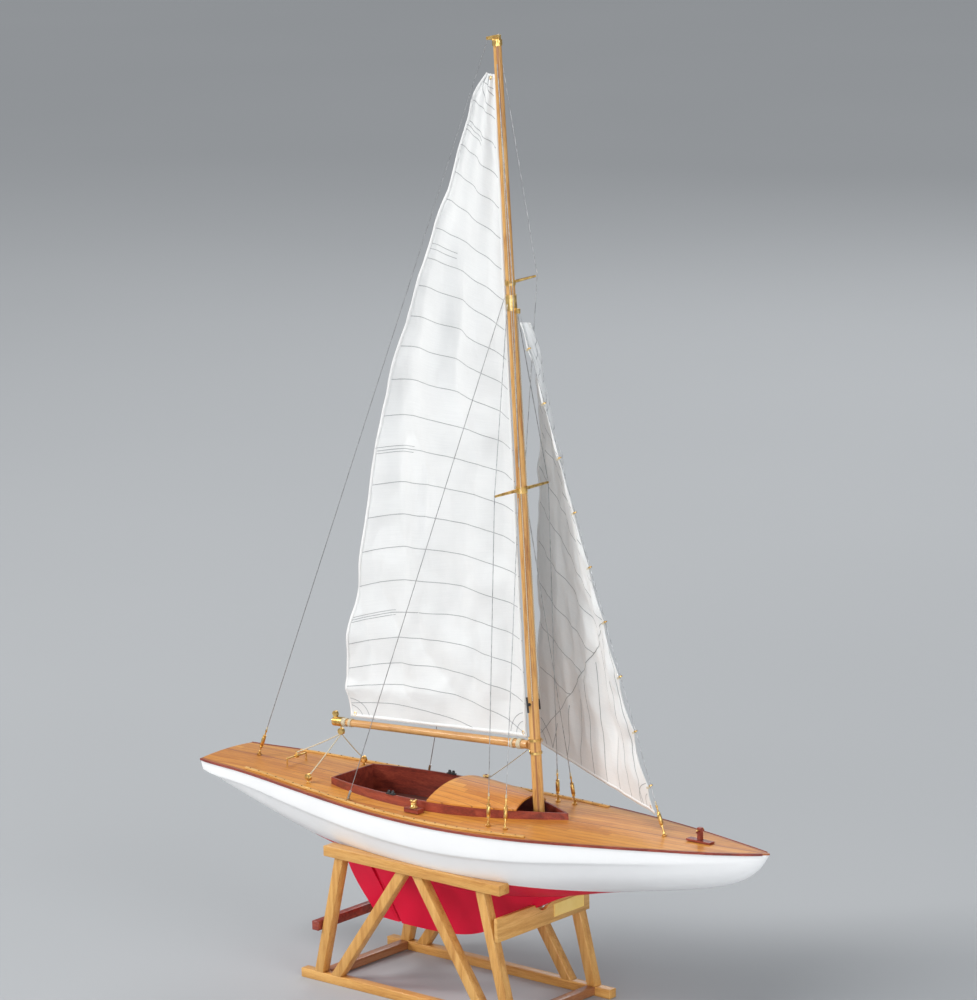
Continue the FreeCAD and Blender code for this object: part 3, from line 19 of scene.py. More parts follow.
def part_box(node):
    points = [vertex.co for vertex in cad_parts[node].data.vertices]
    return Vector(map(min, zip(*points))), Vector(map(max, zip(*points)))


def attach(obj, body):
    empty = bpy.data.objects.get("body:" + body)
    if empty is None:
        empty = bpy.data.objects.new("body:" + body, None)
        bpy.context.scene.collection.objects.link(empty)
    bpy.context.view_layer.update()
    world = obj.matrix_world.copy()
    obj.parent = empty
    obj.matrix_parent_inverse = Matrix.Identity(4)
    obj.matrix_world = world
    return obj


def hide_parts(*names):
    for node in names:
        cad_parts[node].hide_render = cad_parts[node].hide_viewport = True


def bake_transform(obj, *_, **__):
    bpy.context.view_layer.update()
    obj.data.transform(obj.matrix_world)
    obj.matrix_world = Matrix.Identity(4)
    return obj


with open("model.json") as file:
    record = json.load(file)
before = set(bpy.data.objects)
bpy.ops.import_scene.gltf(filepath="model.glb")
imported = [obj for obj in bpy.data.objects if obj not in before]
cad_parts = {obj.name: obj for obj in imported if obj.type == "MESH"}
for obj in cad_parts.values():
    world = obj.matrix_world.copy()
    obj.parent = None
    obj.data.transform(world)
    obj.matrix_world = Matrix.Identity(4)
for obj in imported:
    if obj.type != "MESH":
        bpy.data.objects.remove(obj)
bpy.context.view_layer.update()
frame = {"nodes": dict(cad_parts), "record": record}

LOG = logging.getLogger("sailing_model")
MM = 0.001

UP = Vector((0.0, 0.0, 1.0))
TURN = 2.0 * math.pi
RAKE = math.tan(math.radians(2.66))
HALF_LENGTH = 0.37
WELD = 0.00002
FLAT = math.radians(2.0)

Colour = tuple[float, float, float]
Outline = tuple[tuple[float, float], ...]
Path = Callable[[float], tuple[float, float]]
Place = Callable[[float, float], Vector]
Socket = bpy.types.NodeSocket
BMesh = bmesh.types.BMesh


def rgba(colour: Colour) -> tuple[float, float, float, float]:
    """Adds full opacity to a colour."""
    return (*colour, 1.0)


def mm(x: float, y: float, z: float) -> Vector:
    """Point given in millimetres."""
    return Vector((x, y, z)) * MM


def point_field(x: float, y: float, z: float) -> Any:
    """Field of a dataclass that holds a point given in millimetres."""
    return field(default_factory=lambda: mm(x, y, z))


def placed(name: str, data: bpy.types.ID) -> bpy.types.Object:
    """New object in the scene that holds some data."""
    made = bpy.data.objects.new(name, data)
    bpy.context.scene.collection.objects.link(made)
    return made


# ---------------------------------------------------------------- shaders


class Shader:
    """A Principled material whose nodes are added and joined by short calls."""

    def __init__(self, name: str) -> None:
        """Starts an empty node tree with an output and a Principled shader."""
        self.material = bpy.data.materials.new(name)
        self.material.use_nodes = True
        self.tree = self.material.node_tree
        self.tree.nodes.clear()
        self.output = self.add("ShaderNodeOutputMaterial")
        self.principled = self.add("ShaderNodeBsdfPrincipled")
        self.tree.links.new(self.principled.outputs["BSDF"], self.output.inputs["Surface"])

    def add(self, kind: str, inputs: dict | None = None, **settings: object) -> bpy.types.Node:
        """Adds a node.

        Args:
            kind: the node's type.
            inputs: values or sockets for its inputs, by name or number.
            settings: properties of the node.

        Returns:
            The new node.
        """
        node = self.tree.nodes.new(kind)
        for key, value in settings.items():
            setattr(node, key, value)
        for key, value in (inputs or {}).items():
            if isinstance(value, Socket):
                self.tree.links.new(value, node.inputs[key])
            else:
                node.inputs[key].default_value = value
        return node

    def surface(self, **values: object) -> None:
        """Sets or links the Principled shader's sockets; an underscore stands for a space."""
        for key, value in values.items():
            socket = self.principled.inputs[key.replace("_", " ")]
            if isinstance(value, Socket):
                self.tree.links.new(value, socket)
            else:
                socket.default_value = value

    def coordinates(self, scale: Sequence[float] = (1, 1, 1), output: str = "Object") -> Socket:
        """Coordinates of a point on the piece, scaled along each axis."""
        source = self.add("ShaderNodeTexCoord")
        return self.add("ShaderNodeMapping", {"Vector": source.outputs[output], "Scale": tuple(scale)}).outputs[0]

    def noise(self, vector: Socket, scale: float, detail: float = 3.0, twist: float = 0.0) -> Socket:
        """Smooth noise between 0 and 1."""
        inputs = {"Vector": vector, "Scale": scale, "Detail": detail, "Distortion": twist}
        return self.add("ShaderNodeTexNoise", inputs).outputs[0]

    def sum(self, operation: str, first: object, second: object = 0.0, third: object = 0.0) -> Socket:
        """Result of a Math node."""
        return self.add("ShaderNodeMath", {0: first, 1: second, 2: third}, operation=operation).outputs[0]

    def ramp(self, value: Socket, stops: Sequence[tuple[float, Colour]]) -> Socket:
        """Colours along a value."""
        node = self.add("ShaderNodeValToRGB", {0: value})
        elements = node.color_ramp.elements
        while len(elements) < len(stops):
            elements.new(0.5)
        for element, (position, colour) in zip(elements, stops):
            element.position = position
            element.color = rgba(colour)
        return node.outputs[0]

    def blend(self, share: object, first: object, second: object, way: str = "MIX") -> Socket:
        """Two colours mixed by a share."""
        node = self.add("ShaderNodeMix", data_type="RGBA", blend_type=way)
        for index, value in ((0, share), (6, first), (7, second)):
            if isinstance(value, Socket):
                self.tree.links.new(value, node.inputs[index])
            else:
                node.inputs[index].default_value = value if index == 0 else rgba(value)
        return node.outputs[2]

    def span(self, value: Socket, low: float, high: float) -> Socket:
        """Value between 0 and 1 spread to a range."""
        return self.add("ShaderNodeMapRange", {0: value, 3: low, 4: high}).outputs[0]

    def bump(self, height: Socket, strength: float, distance: float) -> None:
        """Raises the surface by a height."""
        inputs = {"Height": height, "Strength": strength, "Distance": distance}
        self.surface(Normal=self.add("ShaderNodeBump", inputs).outputs[0])


class Grain(Enum):
    """Way that wood grain runs, as the squeeze of the pattern along each axis."""

    ALONG_X = (0.06, 1.0, 1.0)
    ALONG_Y = (1.0, 0.06, 1.0)
    ALONG_Z = (1.0, 1.0, 0.06)


@dataclass(frozen=True)
class Wood:
    """Varnished wood with streaked figure, fine fibres and a clear coat."""

    name: str
    light: Colour
    middle: Colour
    dark: Colour
    grain: Grain
    figure: float = 0.006
    gloss: float = 0.5
    relief: float = 0.25
    dark_streak: bool = False

    def stripe(self, shader: Shader) -> Socket:
        """Share of a dark streak down the middle of the spar's forward starboard face."""
        axes = shader.add("ShaderNodeSeparateXYZ", {0: shader.coordinates()})
        middle = shader.sum("MULTIPLY_ADD", axes.outputs[2], -RAKE, 0.08267)
        ahead = shader.sum("SUBTRACT", axes.outputs[0], middle)
        port = shader.sum("MULTIPLY", axes.outputs[1], 0.60)
        side = shader.sum("ADD", shader.sum("MULTIPLY", ahead, 0.80), port)
        near = shader.sum("ABSOLUTE", shader.sum("ADD", side, 0.0002))
        return shader.add("ShaderNodeMapRange", {0: near, 1: 0.0005, 2: 0.0014, 3: 0.85, 4: 0.0}).outputs[0]

    def build(self) -> bpy.types.Material:
        """Makes the material."""
        shader = Shader(self.name)
        place = shader.coordinates(self.grain.value)
        figure = shader.noise(place, 1.0 / self.figure, 4.0, 0.8)
        fibre = shader.noise(place, 9.0 / self.figure, 5.0)
        pores = shader.noise(place, 30.0 / self.figure, 2.0)
        tone = shader.sum("MULTIPLY_ADD", fibre, 0.4, shader.sum("MULTIPLY", figure, 0.6))
        colour = shader.ramp(tone, ((0.34, self.dark), (0.5, self.middle), (0.64, self.light)))
        # Darker streak down the middle of the mast, in the plane through its axis that points at the camera.
        if self.dark_streak:
            colour = shader.blend(self.stripe(shader), colour, self.dark)
        flecks = shader.ramp(pores, ((0.30, (0.72, 0.66, 0.6)), (0.42, (1, 1, 1))))
        shader.surface(
            Base_Color=shader.blend(0.7, colour, flecks, "MULTIPLY"),
            Roughness=shader.span(fibre, 0.52, 0.34),
            Coat_Weight=self.gloss,
            Coat_Roughness=0.12,
        )
        shader.bump(fibre, self.relief, 0.0002)
        return shader.material


@dataclass(frozen=True)
class DeckPlanks:
    """Narrow planks along the deck, with dark seams, a king plank and a darker covering board at the edge."""

    name: str = "honey_deck_planks"
    plank: float = 0.0072
    seam: float = 0.0005
    length: float = 0.19
    king_half: float = 0.0016
    board: float = 0.0035
    light: Colour = (0.70, 0.315, 0.048)
    middle: Colour = (0.585, 0.225, 0.028)
    dark: Colour = (0.44, 0.14, 0.016)
    caulk: Colour = (0.19, 0.05, 0.012)
    edge: Colour = (0.30, 0.075, 0.02)
    half_breadths: Outline = (
        (-0.370, 0.0403), (-0.296, 0.0510), (-0.222, 0.0625), (-0.148, 0.0733), (-0.074, 0.0813),
        (0.0, 0.0840), (0.074, 0.0795), (0.148, 0.0674), (0.222, 0.0499), (0.296, 0.0283), (0.370, 0.0010),
    )

    def edge_distance(self, shader: Shader, x: Socket, y: Socket) -> Socket:
        """Distance inboard of the deck's edge, from a curve of its half breadths."""
        ends = {0: x, 1: -HALF_LENGTH, 2: HALF_LENGTH, 3: 0.0, 4: 1.0}
        share = shader.add("ShaderNodeMapRange", ends).outputs[0]
        node = shader.add("ShaderNodeFloatCurve", {1: share})
        curve = node.mapping.curves[0]
        for station, half in self.half_breadths[1:-1]:
            curve.points.new((station + HALF_LENGTH) / (2.0 * HALF_LENGTH), half * 10.0)
        curve.points[0].location = (0.0, self.half_breadths[0][1] * 10.0)
        curve.points[len(curve.points) - 1].location = (1.0, self.half_breadths[-1][1] * 10.0)
        node.mapping.update()
        return shader.sum("SUBTRACT", shader.sum("MULTIPLY", node.outputs[0], 0.1), shader.sum("ABSOLUTE", y))

    def build(self) -> bpy.types.Material:
        """Makes the material."""
        shader = Shader(self.name)
        axes = shader.add("ShaderNodeSeparateXYZ", {0: shader.coordinates()})
        x, y = axes.outputs[0], axes.outputs[1]
        row = shader.sum("ADD", shader.sum("DIVIDE", y, self.plank), 0.5)
        number = shader.sum("FLOOR", row)
        chance = shader.add("ShaderNodeTexWhiteNoise", {1: number}, noise_dimensions="1D").outputs[0]
        across = shader.sum("ABSOLUTE", shader.sum("SUBTRACT", shader.sum("FRACT", row), 0.5))
        seam = shader.sum("GREATER_THAN", across, 0.5 - 0.5 * self.seam / self.plank)
        along = shader.sum("ADD", shader.sum("DIVIDE", x, self.length), chance)
        piece = shader.sum("ADD", shader.sum("MULTIPLY", shader.sum("FLOOR", along), 7.3), number)
        tone = shader.add("ShaderNodeTexWhiteNoise", {1: piece}, noise_dimensions="1D").outputs[0]
        butt = shader.sum("LESS_THAN", shader.sum("FRACT", along), self.seam / self.length)
        joint = shader.sum("MAXIMUM", seam, butt)
        king = shader.sum("LESS_THAN", shader.sum("ABSOLUTE", y), self.king_half)
        place = shader.coordinates(Grain.ALONG_X.value)
        fibre = shader.noise(place, 1500.0, 5.0)
        figure = shader.noise(place, 170.0, 4.0, 0.6)
        streaks = shader.sum("MULTIPLY_ADD", fibre, 0.35, shader.sum("MULTIPLY", figure, 0.48))
        mixed = shader.sum("MULTIPLY_ADD", tone, 0.20, streaks)
        wood = shader.ramp(mixed, ((0.34, self.dark), (0.5, self.middle), (0.68, self.light)))
        rim = shader.sum("LESS_THAN", self.edge_distance(shader, x, y), self.board)
        wood = shader.blend(shader.sum("MULTIPLY", rim, 0.75), wood, self.edge)
        wood = shader.blend(shader.sum("MULTIPLY", king, 0.8), wood, self.edge)
        shader.surface(
            Base_Color=shader.blend(shader.sum("MULTIPLY", joint, 0.62), wood, self.caulk),
            Roughness=shader.span(fibre, 0.55, 0.42),
            Coat_Weight=0.22,
            Coat_Roughness=0.28,
        )
        height = shader.sum("SUBTRACT", shader.sum("MULTIPLY", fibre, 0.3), joint)
        shader.bump(height, 0.35, 0.0002)
        return shader.material


@dataclass(frozen=True)
class HullPaint:
    """White topsides over a red bottom, parted at the painted waterline."""

    name: str = "white_and_red_paint"
    line: float = 0.1482
    rise: float = 0.010
    blur: float = 0.0002
    white: Colour = (0.86, 0.865, 0.87)
    red: Colour = (0.80, 0.004, 0.046)

    def build(self) -> bpy.types.Material:
        """Makes the material."""
        shader = Shader(self.name)
        axes = shader.add("ShaderNodeSeparateXYZ", {0: shader.coordinates()})
        x, z = axes.outputs[0], axes.outputs[2]
        cloud = shader.noise(shader.coordinates(), 14.0, 4.0)
        brush = shader.noise(shader.coordinates((1.0, 6.0, 12.0)), 60.0, 3.0)
        forward = shader.sum("MULTIPLY", shader.sum("MAXIMUM", x, 0.0), self.rise)
        height = shader.sum("SUBTRACT", shader.sum("SUBTRACT", z, forward), self.line)
        wobble = shader.sum("MULTIPLY", shader.sum("SUBTRACT", brush, 0.5), 0.0009)
        edge = {0: shader.sum("ADD", height, wobble), 1: -self.blur, 2: self.blur}
        above = shader.add("ShaderNodeMapRange", edge).outputs[0]
        white = shader.ramp(cloud, ((0.3, tuple(0.955 * c for c in self.white)), (0.7, self.white)))
        red = shader.ramp(cloud, ((0.3, tuple(0.8 * c for c in self.red)), (0.7, self.red)))
        shader.surface(
            Base_Color=shader.blend(above, red, white),
            Roughness=shader.span(cloud, 0.58, 0.50),
            Specular_IOR_Level=0.25,
            Coat_Weight=0.05,
            Coat_Roughness=0.3,
        )
        shader.bump(brush, 0.12, 0.0002)
        return shader.material


@dataclass(frozen=True)
class Metal:
    """Cast or drawn metal with a little tarnish."""

    name: str
    bright: Colour
    dull: Colour
    roughness: float = 0.28
    grain: float = 900.0
    cloud: float = 220.0
    metallic: float = 1.0

    def build(self) -> bpy.types.Material:
        """Makes the material."""
        shader = Shader(self.name)
        place = shader.coordinates()
        tarnish = shader.noise(place, self.cloud, 5.0)
        marks = shader.noise(place, self.grain, 3.0)
        shader.surface(
            Base_Color=shader.ramp(tarnish, ((0.36, self.dull), (0.6, self.bright))),
            Metallic=self.metallic,
            Roughness=shader.span(tarnish, self.roughness + 0.2, self.roughness - 0.08),
        )
        shader.bump(marks, 0.2, 0.0001)
        return shader.material


@dataclass(frozen=True)
class Plastic:
    """Moulded plastic with a fine grained skin."""

    name: str
    colour: Colour
    worn: Colour
    roughness: float = 0.42

    def build(self) -> bpy.types.Material:
        """Makes the material."""
        shader = Shader(self.name)
        place = shader.coordinates()
        cloud = shader.noise(place, 120.0, 4.0)
        grain = shader.noise(place, 2600.0, 2.0)
        shader.surface(
            Base_Color=shader.ramp(cloud, ((0.35, self.colour), (0.7, self.worn))),
            Roughness=shader.span(grain, self.roughness - 0.06, self.roughness + 0.1),
        )
        shader.bump(grain, 0.15, 0.0001)
        return shader.material


@dataclass(frozen=True)
class Cloth:
    """Fine plain weave of the sails, on a UV map in metres."""

    name: str
    light: Colour = (0.78, 0.785, 0.78)
    shade: Colour = (0.67, 0.68, 0.68)
    thread: float = 0.00042
    relief: float = 0.5

    def build(self) -> bpy.types.Material:
        """Makes the material."""
        shader = Shader(self.name)
        place = shader.coordinates(output="UV")
        waves = []
        for axis in ("X", "Y"):
            inputs = {"Vector": place, "Scale": 1.0 / (self.thread * 20.0) * 6.2832}
            inputs |= {"Distortion": 0.6, "Detail": 1.0, "Detail Scale": 2.0}
            waves.append(shader.add("ShaderNodeTexWave", inputs, bands_direction=axis).outputs[1])
        weave = shader.sum("MULTIPLY", waves[0], waves[1])
        slub = shader.noise(shader.coordinates((30.0, 900.0, 1.0), "UV"), 1.0, 4.0)
        cloud = shader.noise(place, 16.0, 4.0)
        uneven = shader.sum("MULTIPLY_ADD", slub, 0.25, shader.sum("MULTIPLY", cloud, 0.5))
        tone = shader.sum("MULTIPLY_ADD", weave, 0.25, uneven)
        shader.surface(
            Base_Color=shader.ramp(tone, ((0.25, self.shade), (0.6, self.light))),
            Roughness=shader.span(cloud, 0.9, 0.78),
            Sheen_Weight=0.25,
            Sheen_Roughness=0.5,
            Specular_IOR_Level=0.25,
        )
        shader.bump(shader.sum("MULTIPLY_ADD", slub, 0.5, weave), self.relief, 0.0001)
        return shader.material


@dataclass(frozen=True)
class Twine:
    """Laid cord: slanted strands, with painted shade in the grooves between them, under a fuzz of loose fibres."""

    name: str
    light: Colour
    dark: Colour
    strands_per_metre: float = 400.0

    def build(self) -> bpy.types.Material:
        """Makes the material."""
        shader = Shader(self.name)
        place = shader.coordinates()
        inputs = {"Vector": place, "Scale": self.strands_per_metre, "Distortion": 2.5, "Detail": 2.0}
        strands = shader.add("ShaderNodeTexWave", inputs, bands_direction="DIAGONAL").outputs[1]
        fuzz = shader.noise(place, 2400.0, 3.0)
        # The colour follows the strand relief, so the grooves between strands get painted shade, mixed with the
        # fuzz's random tone.
        tone = shader.sum("MULTIPLY_ADD", strands, 0.55, shader.sum("MULTIPLY", fuzz, 0.45))
        shader.surface(
            Base_Color=shader.ramp(tone, ((0.25, self.dark), (0.65, self.light))),
            Roughness=shader.span(fuzz, 0.7, 0.92),
            Sheen_Weight=0.2,
        )
        shader.bump(strands, 0.6, 0.0002)
        return shader.material


class Finish(Enum):
    """Every finish of the model."""

    HULL = HullPaint()
    KEEL = HullPaint("red_bottom_paint", line=0.3)
    DECK = DeckPlanks()
    MAHOGANY = Wood(
        "red_mahogany", (0.36, 0.068, 0.034), (0.25, 0.036, 0.020), (0.12, 0.016, 0.010),
        Grain.ALONG_X, gloss=0.25,
    )
    SOLE = Wood(
        "dark_floor_boards", (0.16, 0.045, 0.028), (0.10, 0.024, 0.016), (0.05, 0.012, 0.009),
        Grain.ALONG_X, gloss=0.25,
    )
    # The mast gets a dark streak down the middle of its forward starboard face.
    MAST = Wood(
        "varnished_pine_mast", (0.71, 0.41, 0.14), (0.61, 0.315, 0.085), (0.30, 0.10, 0.022),
        Grain.ALONG_Z, gloss=0.3, dark_streak=True,
    )
    BOOM = Wood(
        "varnished_pine_boom", (0.69, 0.40, 0.16), (0.58, 0.30, 0.095), (0.43, 0.19, 0.05), Grain.ALONG_X,
    )
    UPRIGHT = Wood(
        "ramin_upright", (0.70, 0.40, 0.125), (0.61, 0.315, 0.082), (0.45, 0.20, 0.042), Grain.ALONG_Z, gloss=0.2,
    )
    RAIL = Wood(
        "ramin_rail", (0.71, 0.40, 0.12), (0.61, 0.31, 0.078), (0.45, 0.195, 0.04), Grain.ALONG_X, gloss=0.2,
    )
    BOARD = Wood(
        "ramin_board", (0.72, 0.42, 0.14), (0.64, 0.345, 0.095), (0.50, 0.24, 0.055), Grain.ALONG_Y, gloss=0.2,
    )
    TOE_RAIL = Wood(
        "light_toe_rail", (0.82, 0.52, 0.19), (0.72, 0.41, 0.12), (0.56, 0.27, 0.06), Grain.ALONG_X, gloss=0.2,
    )
    CROSS = Wood(
        "brown_crossbar", (0.42, 0.19, 0.08), (0.33, 0.125, 0.045), (0.2, 0.065, 0.022), Grain.ALONG_Y, gloss=0.3,
    )
    PLYWOOD = Wood(
        "birch_plywood", (0.72, 0.52, 0.30), (0.62, 0.42, 0.21), (0.5, 0.31, 0.14), Grain.ALONG_X, gloss=0.05,
    )
    BRASS = Metal("polished_brass", (0.86, 0.60, 0.22), (0.52, 0.30, 0.09))
    PLATE = Metal("bright_plate_brass", (1.0, 0.74, 0.25), (0.92, 0.64, 0.18), 0.34, 5000.0, 30.0, metallic=0.12)
    PIN = Metal("dark_brass_pins", (0.30, 0.14, 0.05), (0.13, 0.055, 0.02), roughness=0.4)
    STEEL = Metal("rigging_steel", (0.52, 0.53, 0.54), (0.30, 0.31, 0.32), roughness=0.36)
    CLOTH = Cloth("sail_cotton")
    SEAM = Cloth("seam_thread", (0.40, 0.41, 0.42), (0.24, 0.25, 0.26), relief=0.8)
    TAPE = Cloth("edge_tape", (0.83, 0.83, 0.82), (0.74, 0.745, 0.74), relief=0.7)
    # The rope's dark colour stands partly for painted shade in the strand grooves and partly for random darker
    # fuzz.
    ROPE = Twine("pale_hemp", (0.76, 0.69, 0.52), (0.42, 0.35, 0.22))
    BLACK = Plastic("black_moulding", (0.012, 0.012, 0.013), (0.03, 0.03, 0.032))
    WHITE = Plastic("white_nylon", (0.78, 0.78, 0.75), (0.70, 0.70, 0.66))
    WRAP = Plastic("blue_shrink_wrap", (0.02, 0.10, 0.32), (0.04, 0.16, 0.42), 0.25)

    @property
    def material(self) -> bpy.types.Material:
        """The finish's material, made at its first use."""
        found = bpy.data.materials.get(self.value.name)
        return found or self.value.build()


# ---------------------------------------------------------------- mesh tools


class Piece:
    """A new visible piece, which can be hung on the body that it rides on."""

    def __init__(self, name: str, mesh: BMesh, finish: Finish, crease: float = 40.0) -> None:
        """Turns a bmesh into an object at the origin, smooth but for edges sharper than the crease.

        Args:
            name: the piece's name.
            mesh: its shape, which is used up.
            finish: its finish.
            crease: angle in degrees.
        """
        for face in mesh.faces:
            face.smooth = True
        for edge in mesh.edges:
            edge.smooth = len(edge.link_faces) != 2 or edge.calc_face_angle() < math.radians(crease)
        data = bpy.data.meshes.new(name)
        mesh.to_mesh(data)
        mesh.free()
        data.materials.append(finish.material)
        self.object = placed(name, data)

    def thicken(self, thickness: float) -> "Piece":
        """Gives a sheet its thickness, half to each side."""
        modifier = self.object.modifiers.new("thickness", "SOLIDIFY")
        modifier.thickness = thickness
        modifier.offset = 0.0
        return self

    def settle(self, body: str, slot: str, *replaced: str) -> bpy.types.Object:
        """Hangs the piece on the body that it rides on and hides the nodes that it stands for."""
        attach(self.object, body)
        if replaced:
            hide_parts(*replaced)
        LOG.info("%s rides on %s", self.object.name, body)
        return self.object


def mapped_grid(columns: int, rows: int, place: Place, uv: Place | None = None) -> BMesh:
    """Grid whose points are moved to a place given by two shares.

    Args:
        columns: faces along the first share.
        rows: faces along the second share.
        place: point for two shares between 0 and 1.
        uv: texture coordinates in metres for the same shares.

    Returns:
        The grid as a bmesh.
    """
    mesh = bmesh.new()
    bmesh.ops.create_grid(mesh, x_segments=columns, y_segments=rows, size=1.0)
    layer = mesh.loops.layers.uv.new("cloth")
    shares = {v: ((v.co.x + 1.0) / 2.0, (v.co.y + 1.0) / 2.0) for v in mesh.verts}
    for face in mesh.faces:
        for loop in face.loops:
            loop[layer].uv = (uv or place)(*shares[loop.vert])[:2]
    for vertex, (a, b) in shares.items():
        vertex.co = place(a, b)
    return mesh


def frame_of(way: Vector) -> Matrix:
    """Turn that takes +Z to a direction."""
    return way.to_track_quat("Z", "Y").to_matrix().to_4x4()


def pour(part: BMesh, mesh: BMesh) -> None:
    """Adds a finished part to a mesh and frees the part."""
    data = bpy.data.meshes.new("part")
    part.to_mesh(data)
    part.free()
    mesh.from_mesh(data)
    bpy.data.meshes.remove(data)


def clean_copy(node: str) -> BMesh:
    """Copy of a node's shape with its corners joined and its flat faces whole."""
    mesh = bmesh.new()
    mesh.from_mesh(frame["nodes"][node].data)
    bmesh.ops.remove_doubles(mesh, verts=mesh.verts, dist=WELD)
    bmesh.ops.dissolve_limit(mesh, angle_limit=FLAT, verts=mesh.verts, edges=mesh.edges)
    return mesh


def add_rod(
    mesh: BMesh, start: Vector, end: Vector, radius: float, end_radius: float | None = None, sides: int = 16
) -> None:
    """Adds a straight or tapered round bar."""
    way = end - start
    turn = Matrix.Translation((start + end) / 2.0) @ frame_of(way)
    last = radius if end_radius is None else end_radius
    bmesh.ops.create_cone(
        mesh, cap_ends=True, segments=sides, radius1=radius, radius2=last, depth=way.length, matrix=turn
    )


def add_ring(mesh: BMesh, centre: Vector, way: Vector, radius: float, wire: float, sides: int = 20) -> None:
    """Adds a ring of round wire by spinning a small circle."""
    turn = Matrix.Translation(centre) @ frame_of(way)
    section = turn @ Matrix.Translation((radius, 0, 0)) @ Matrix.Rotation(math.pi / 2.0, 4, "X")
    made = bmesh.ops.create_circle(mesh, segments=8, radius=wire, matrix=section)
    geometry = made["verts"] + list({e for v in made["verts"] for e in v.link_edges})
    axis = way.normalized()
    bmesh.ops.spin(mesh, geom=geometry, cent=centre, axis=axis, angle=TURN, steps=sides, use_merge=True)


def turned(mesh: BMesh, base: Vector, way: Vector, profile: Outline, steps: int = 24) -> None:
    """Adds a shape spun about an axis.

    Args:
        mesh: the mesh that it is added to.
        base: start of the axis.
        way: direction of the axis.
        profile: distance along the axis and radius of each point of the outline.
        steps: faces round the axis.
    """
    part = bmesh.new()
    line = [part.verts.new((radius, 0.0, height)) for height, radius in profile]
    outline = line + [part.edges.new(pair) for pair in zip(line, line[1:])]
    bmesh.ops.spin(part, geom=outline, cent=(0, 0, 0), axis=UP, angle=TURN, steps=steps, use_merge=True)
    bmesh.ops.remove_doubles(part, verts=part.verts, dist=1e-7)
    bmesh.ops.recalc_face_normals(part, faces=part.faces)
    bmesh.ops.transform(part, matrix=Matrix.Translation(base) @ frame_of(way), verts=part.verts)
    pour(part, mesh)


def scaled(profile: Outline, height: float, radius: float) -> Outline:
    """Outline in shares of a height and a radius, turned to metres."""
    return tuple((h * height, r * radius) for h, r in profile)


def tube(name: str, points: Sequence[Vector], radius: float, finish: Finish) -> Piece:
    """Round line along a smooth run of points, as a mesh."""
    curve = bpy.data.curves.new(name, "CURVE")
    curve.dimensions = "3D"
    curve.bevel_depth = radius
    curve.bevel_resolution = 2
    curve.resolution_u = 6
    curve.use_fill_caps = True
    spline = curve.splines.new("NURBS")
    spline.points.add(len(points) - 1)
    for target, point in zip(spline.points, points):
        target.co = (*point, 1.0)
    spline.order_u = 3
    spline.use_endpoint_u = True
    maker = placed(name + "_maker", curve)
    bpy.context.view_layer.update()
    made = bpy.data.meshes.new_from_object(maker.evaluated_get(bpy.context.evaluated_depsgraph_get()))
    mesh = bmesh.new()
    mesh.from_mesh(made)
    bpy.data.objects.remove(maker)
    bpy.data.curves.remove(curve)
    bpy.data.meshes.remove(made)
    return Piece(name, mesh, finish)


def softened(node: str, finish: Finish, width: float, angle: float = 28.0) -> Piece:
    """Copy of a node's shape with its sharp edges rounded.

    Args:
        node: name of the node, which the piece is to replace.
        finish: its finish.
        width: width of the rounding in metres.
        angle: sharpest angle in degrees that is left as it is.

    Returns:
        The rounded piece.
    """
    mesh = clean_copy(node)
    sharp = math.radians(angle)
    edges = [e for e in mesh.edges if len(e.link_faces) == 2 and e.calc_face_angle() > sharp]
    bmesh.ops.bevel(
        mesh, geom=edges, offset=width, offset_type="OFFSET", segments=2, profile=0.5,
        affect="EDGES", clamp_overlap=True, material=-1,
    )
    return Piece(f"{node}_rounded", mesh, finish, 50.0)


class Surface:
    """Upward faces of some nodes, for placing small things on them."""

    def __init__(self, *nodes: str) -> None:
        """Joins the nodes' meshes into one search tree."""
        mesh = bmesh.new()
        for node in nodes:
            mesh.from_mesh(frame["nodes"][node].data)
        self.tree = BVHTree.FromBMesh(mesh)
        mesh.free()

    def top(self, x: float, y: float) -> Vector | None:
        """Highest point at a place, or None where there is nothing."""
        return self.tree.ray_cast(Vector((x, y, 2.0)), -UP)[0]


# ---------------------------------------------------------------- studio


@dataclass(frozen=True)
class Lamp:
    """Soft rectangular light aimed at the model."""

    name: str
    place: tuple[float, float, float]
    power: float
    width: float
    colour: Colour = (1.0, 1.0, 1.0)


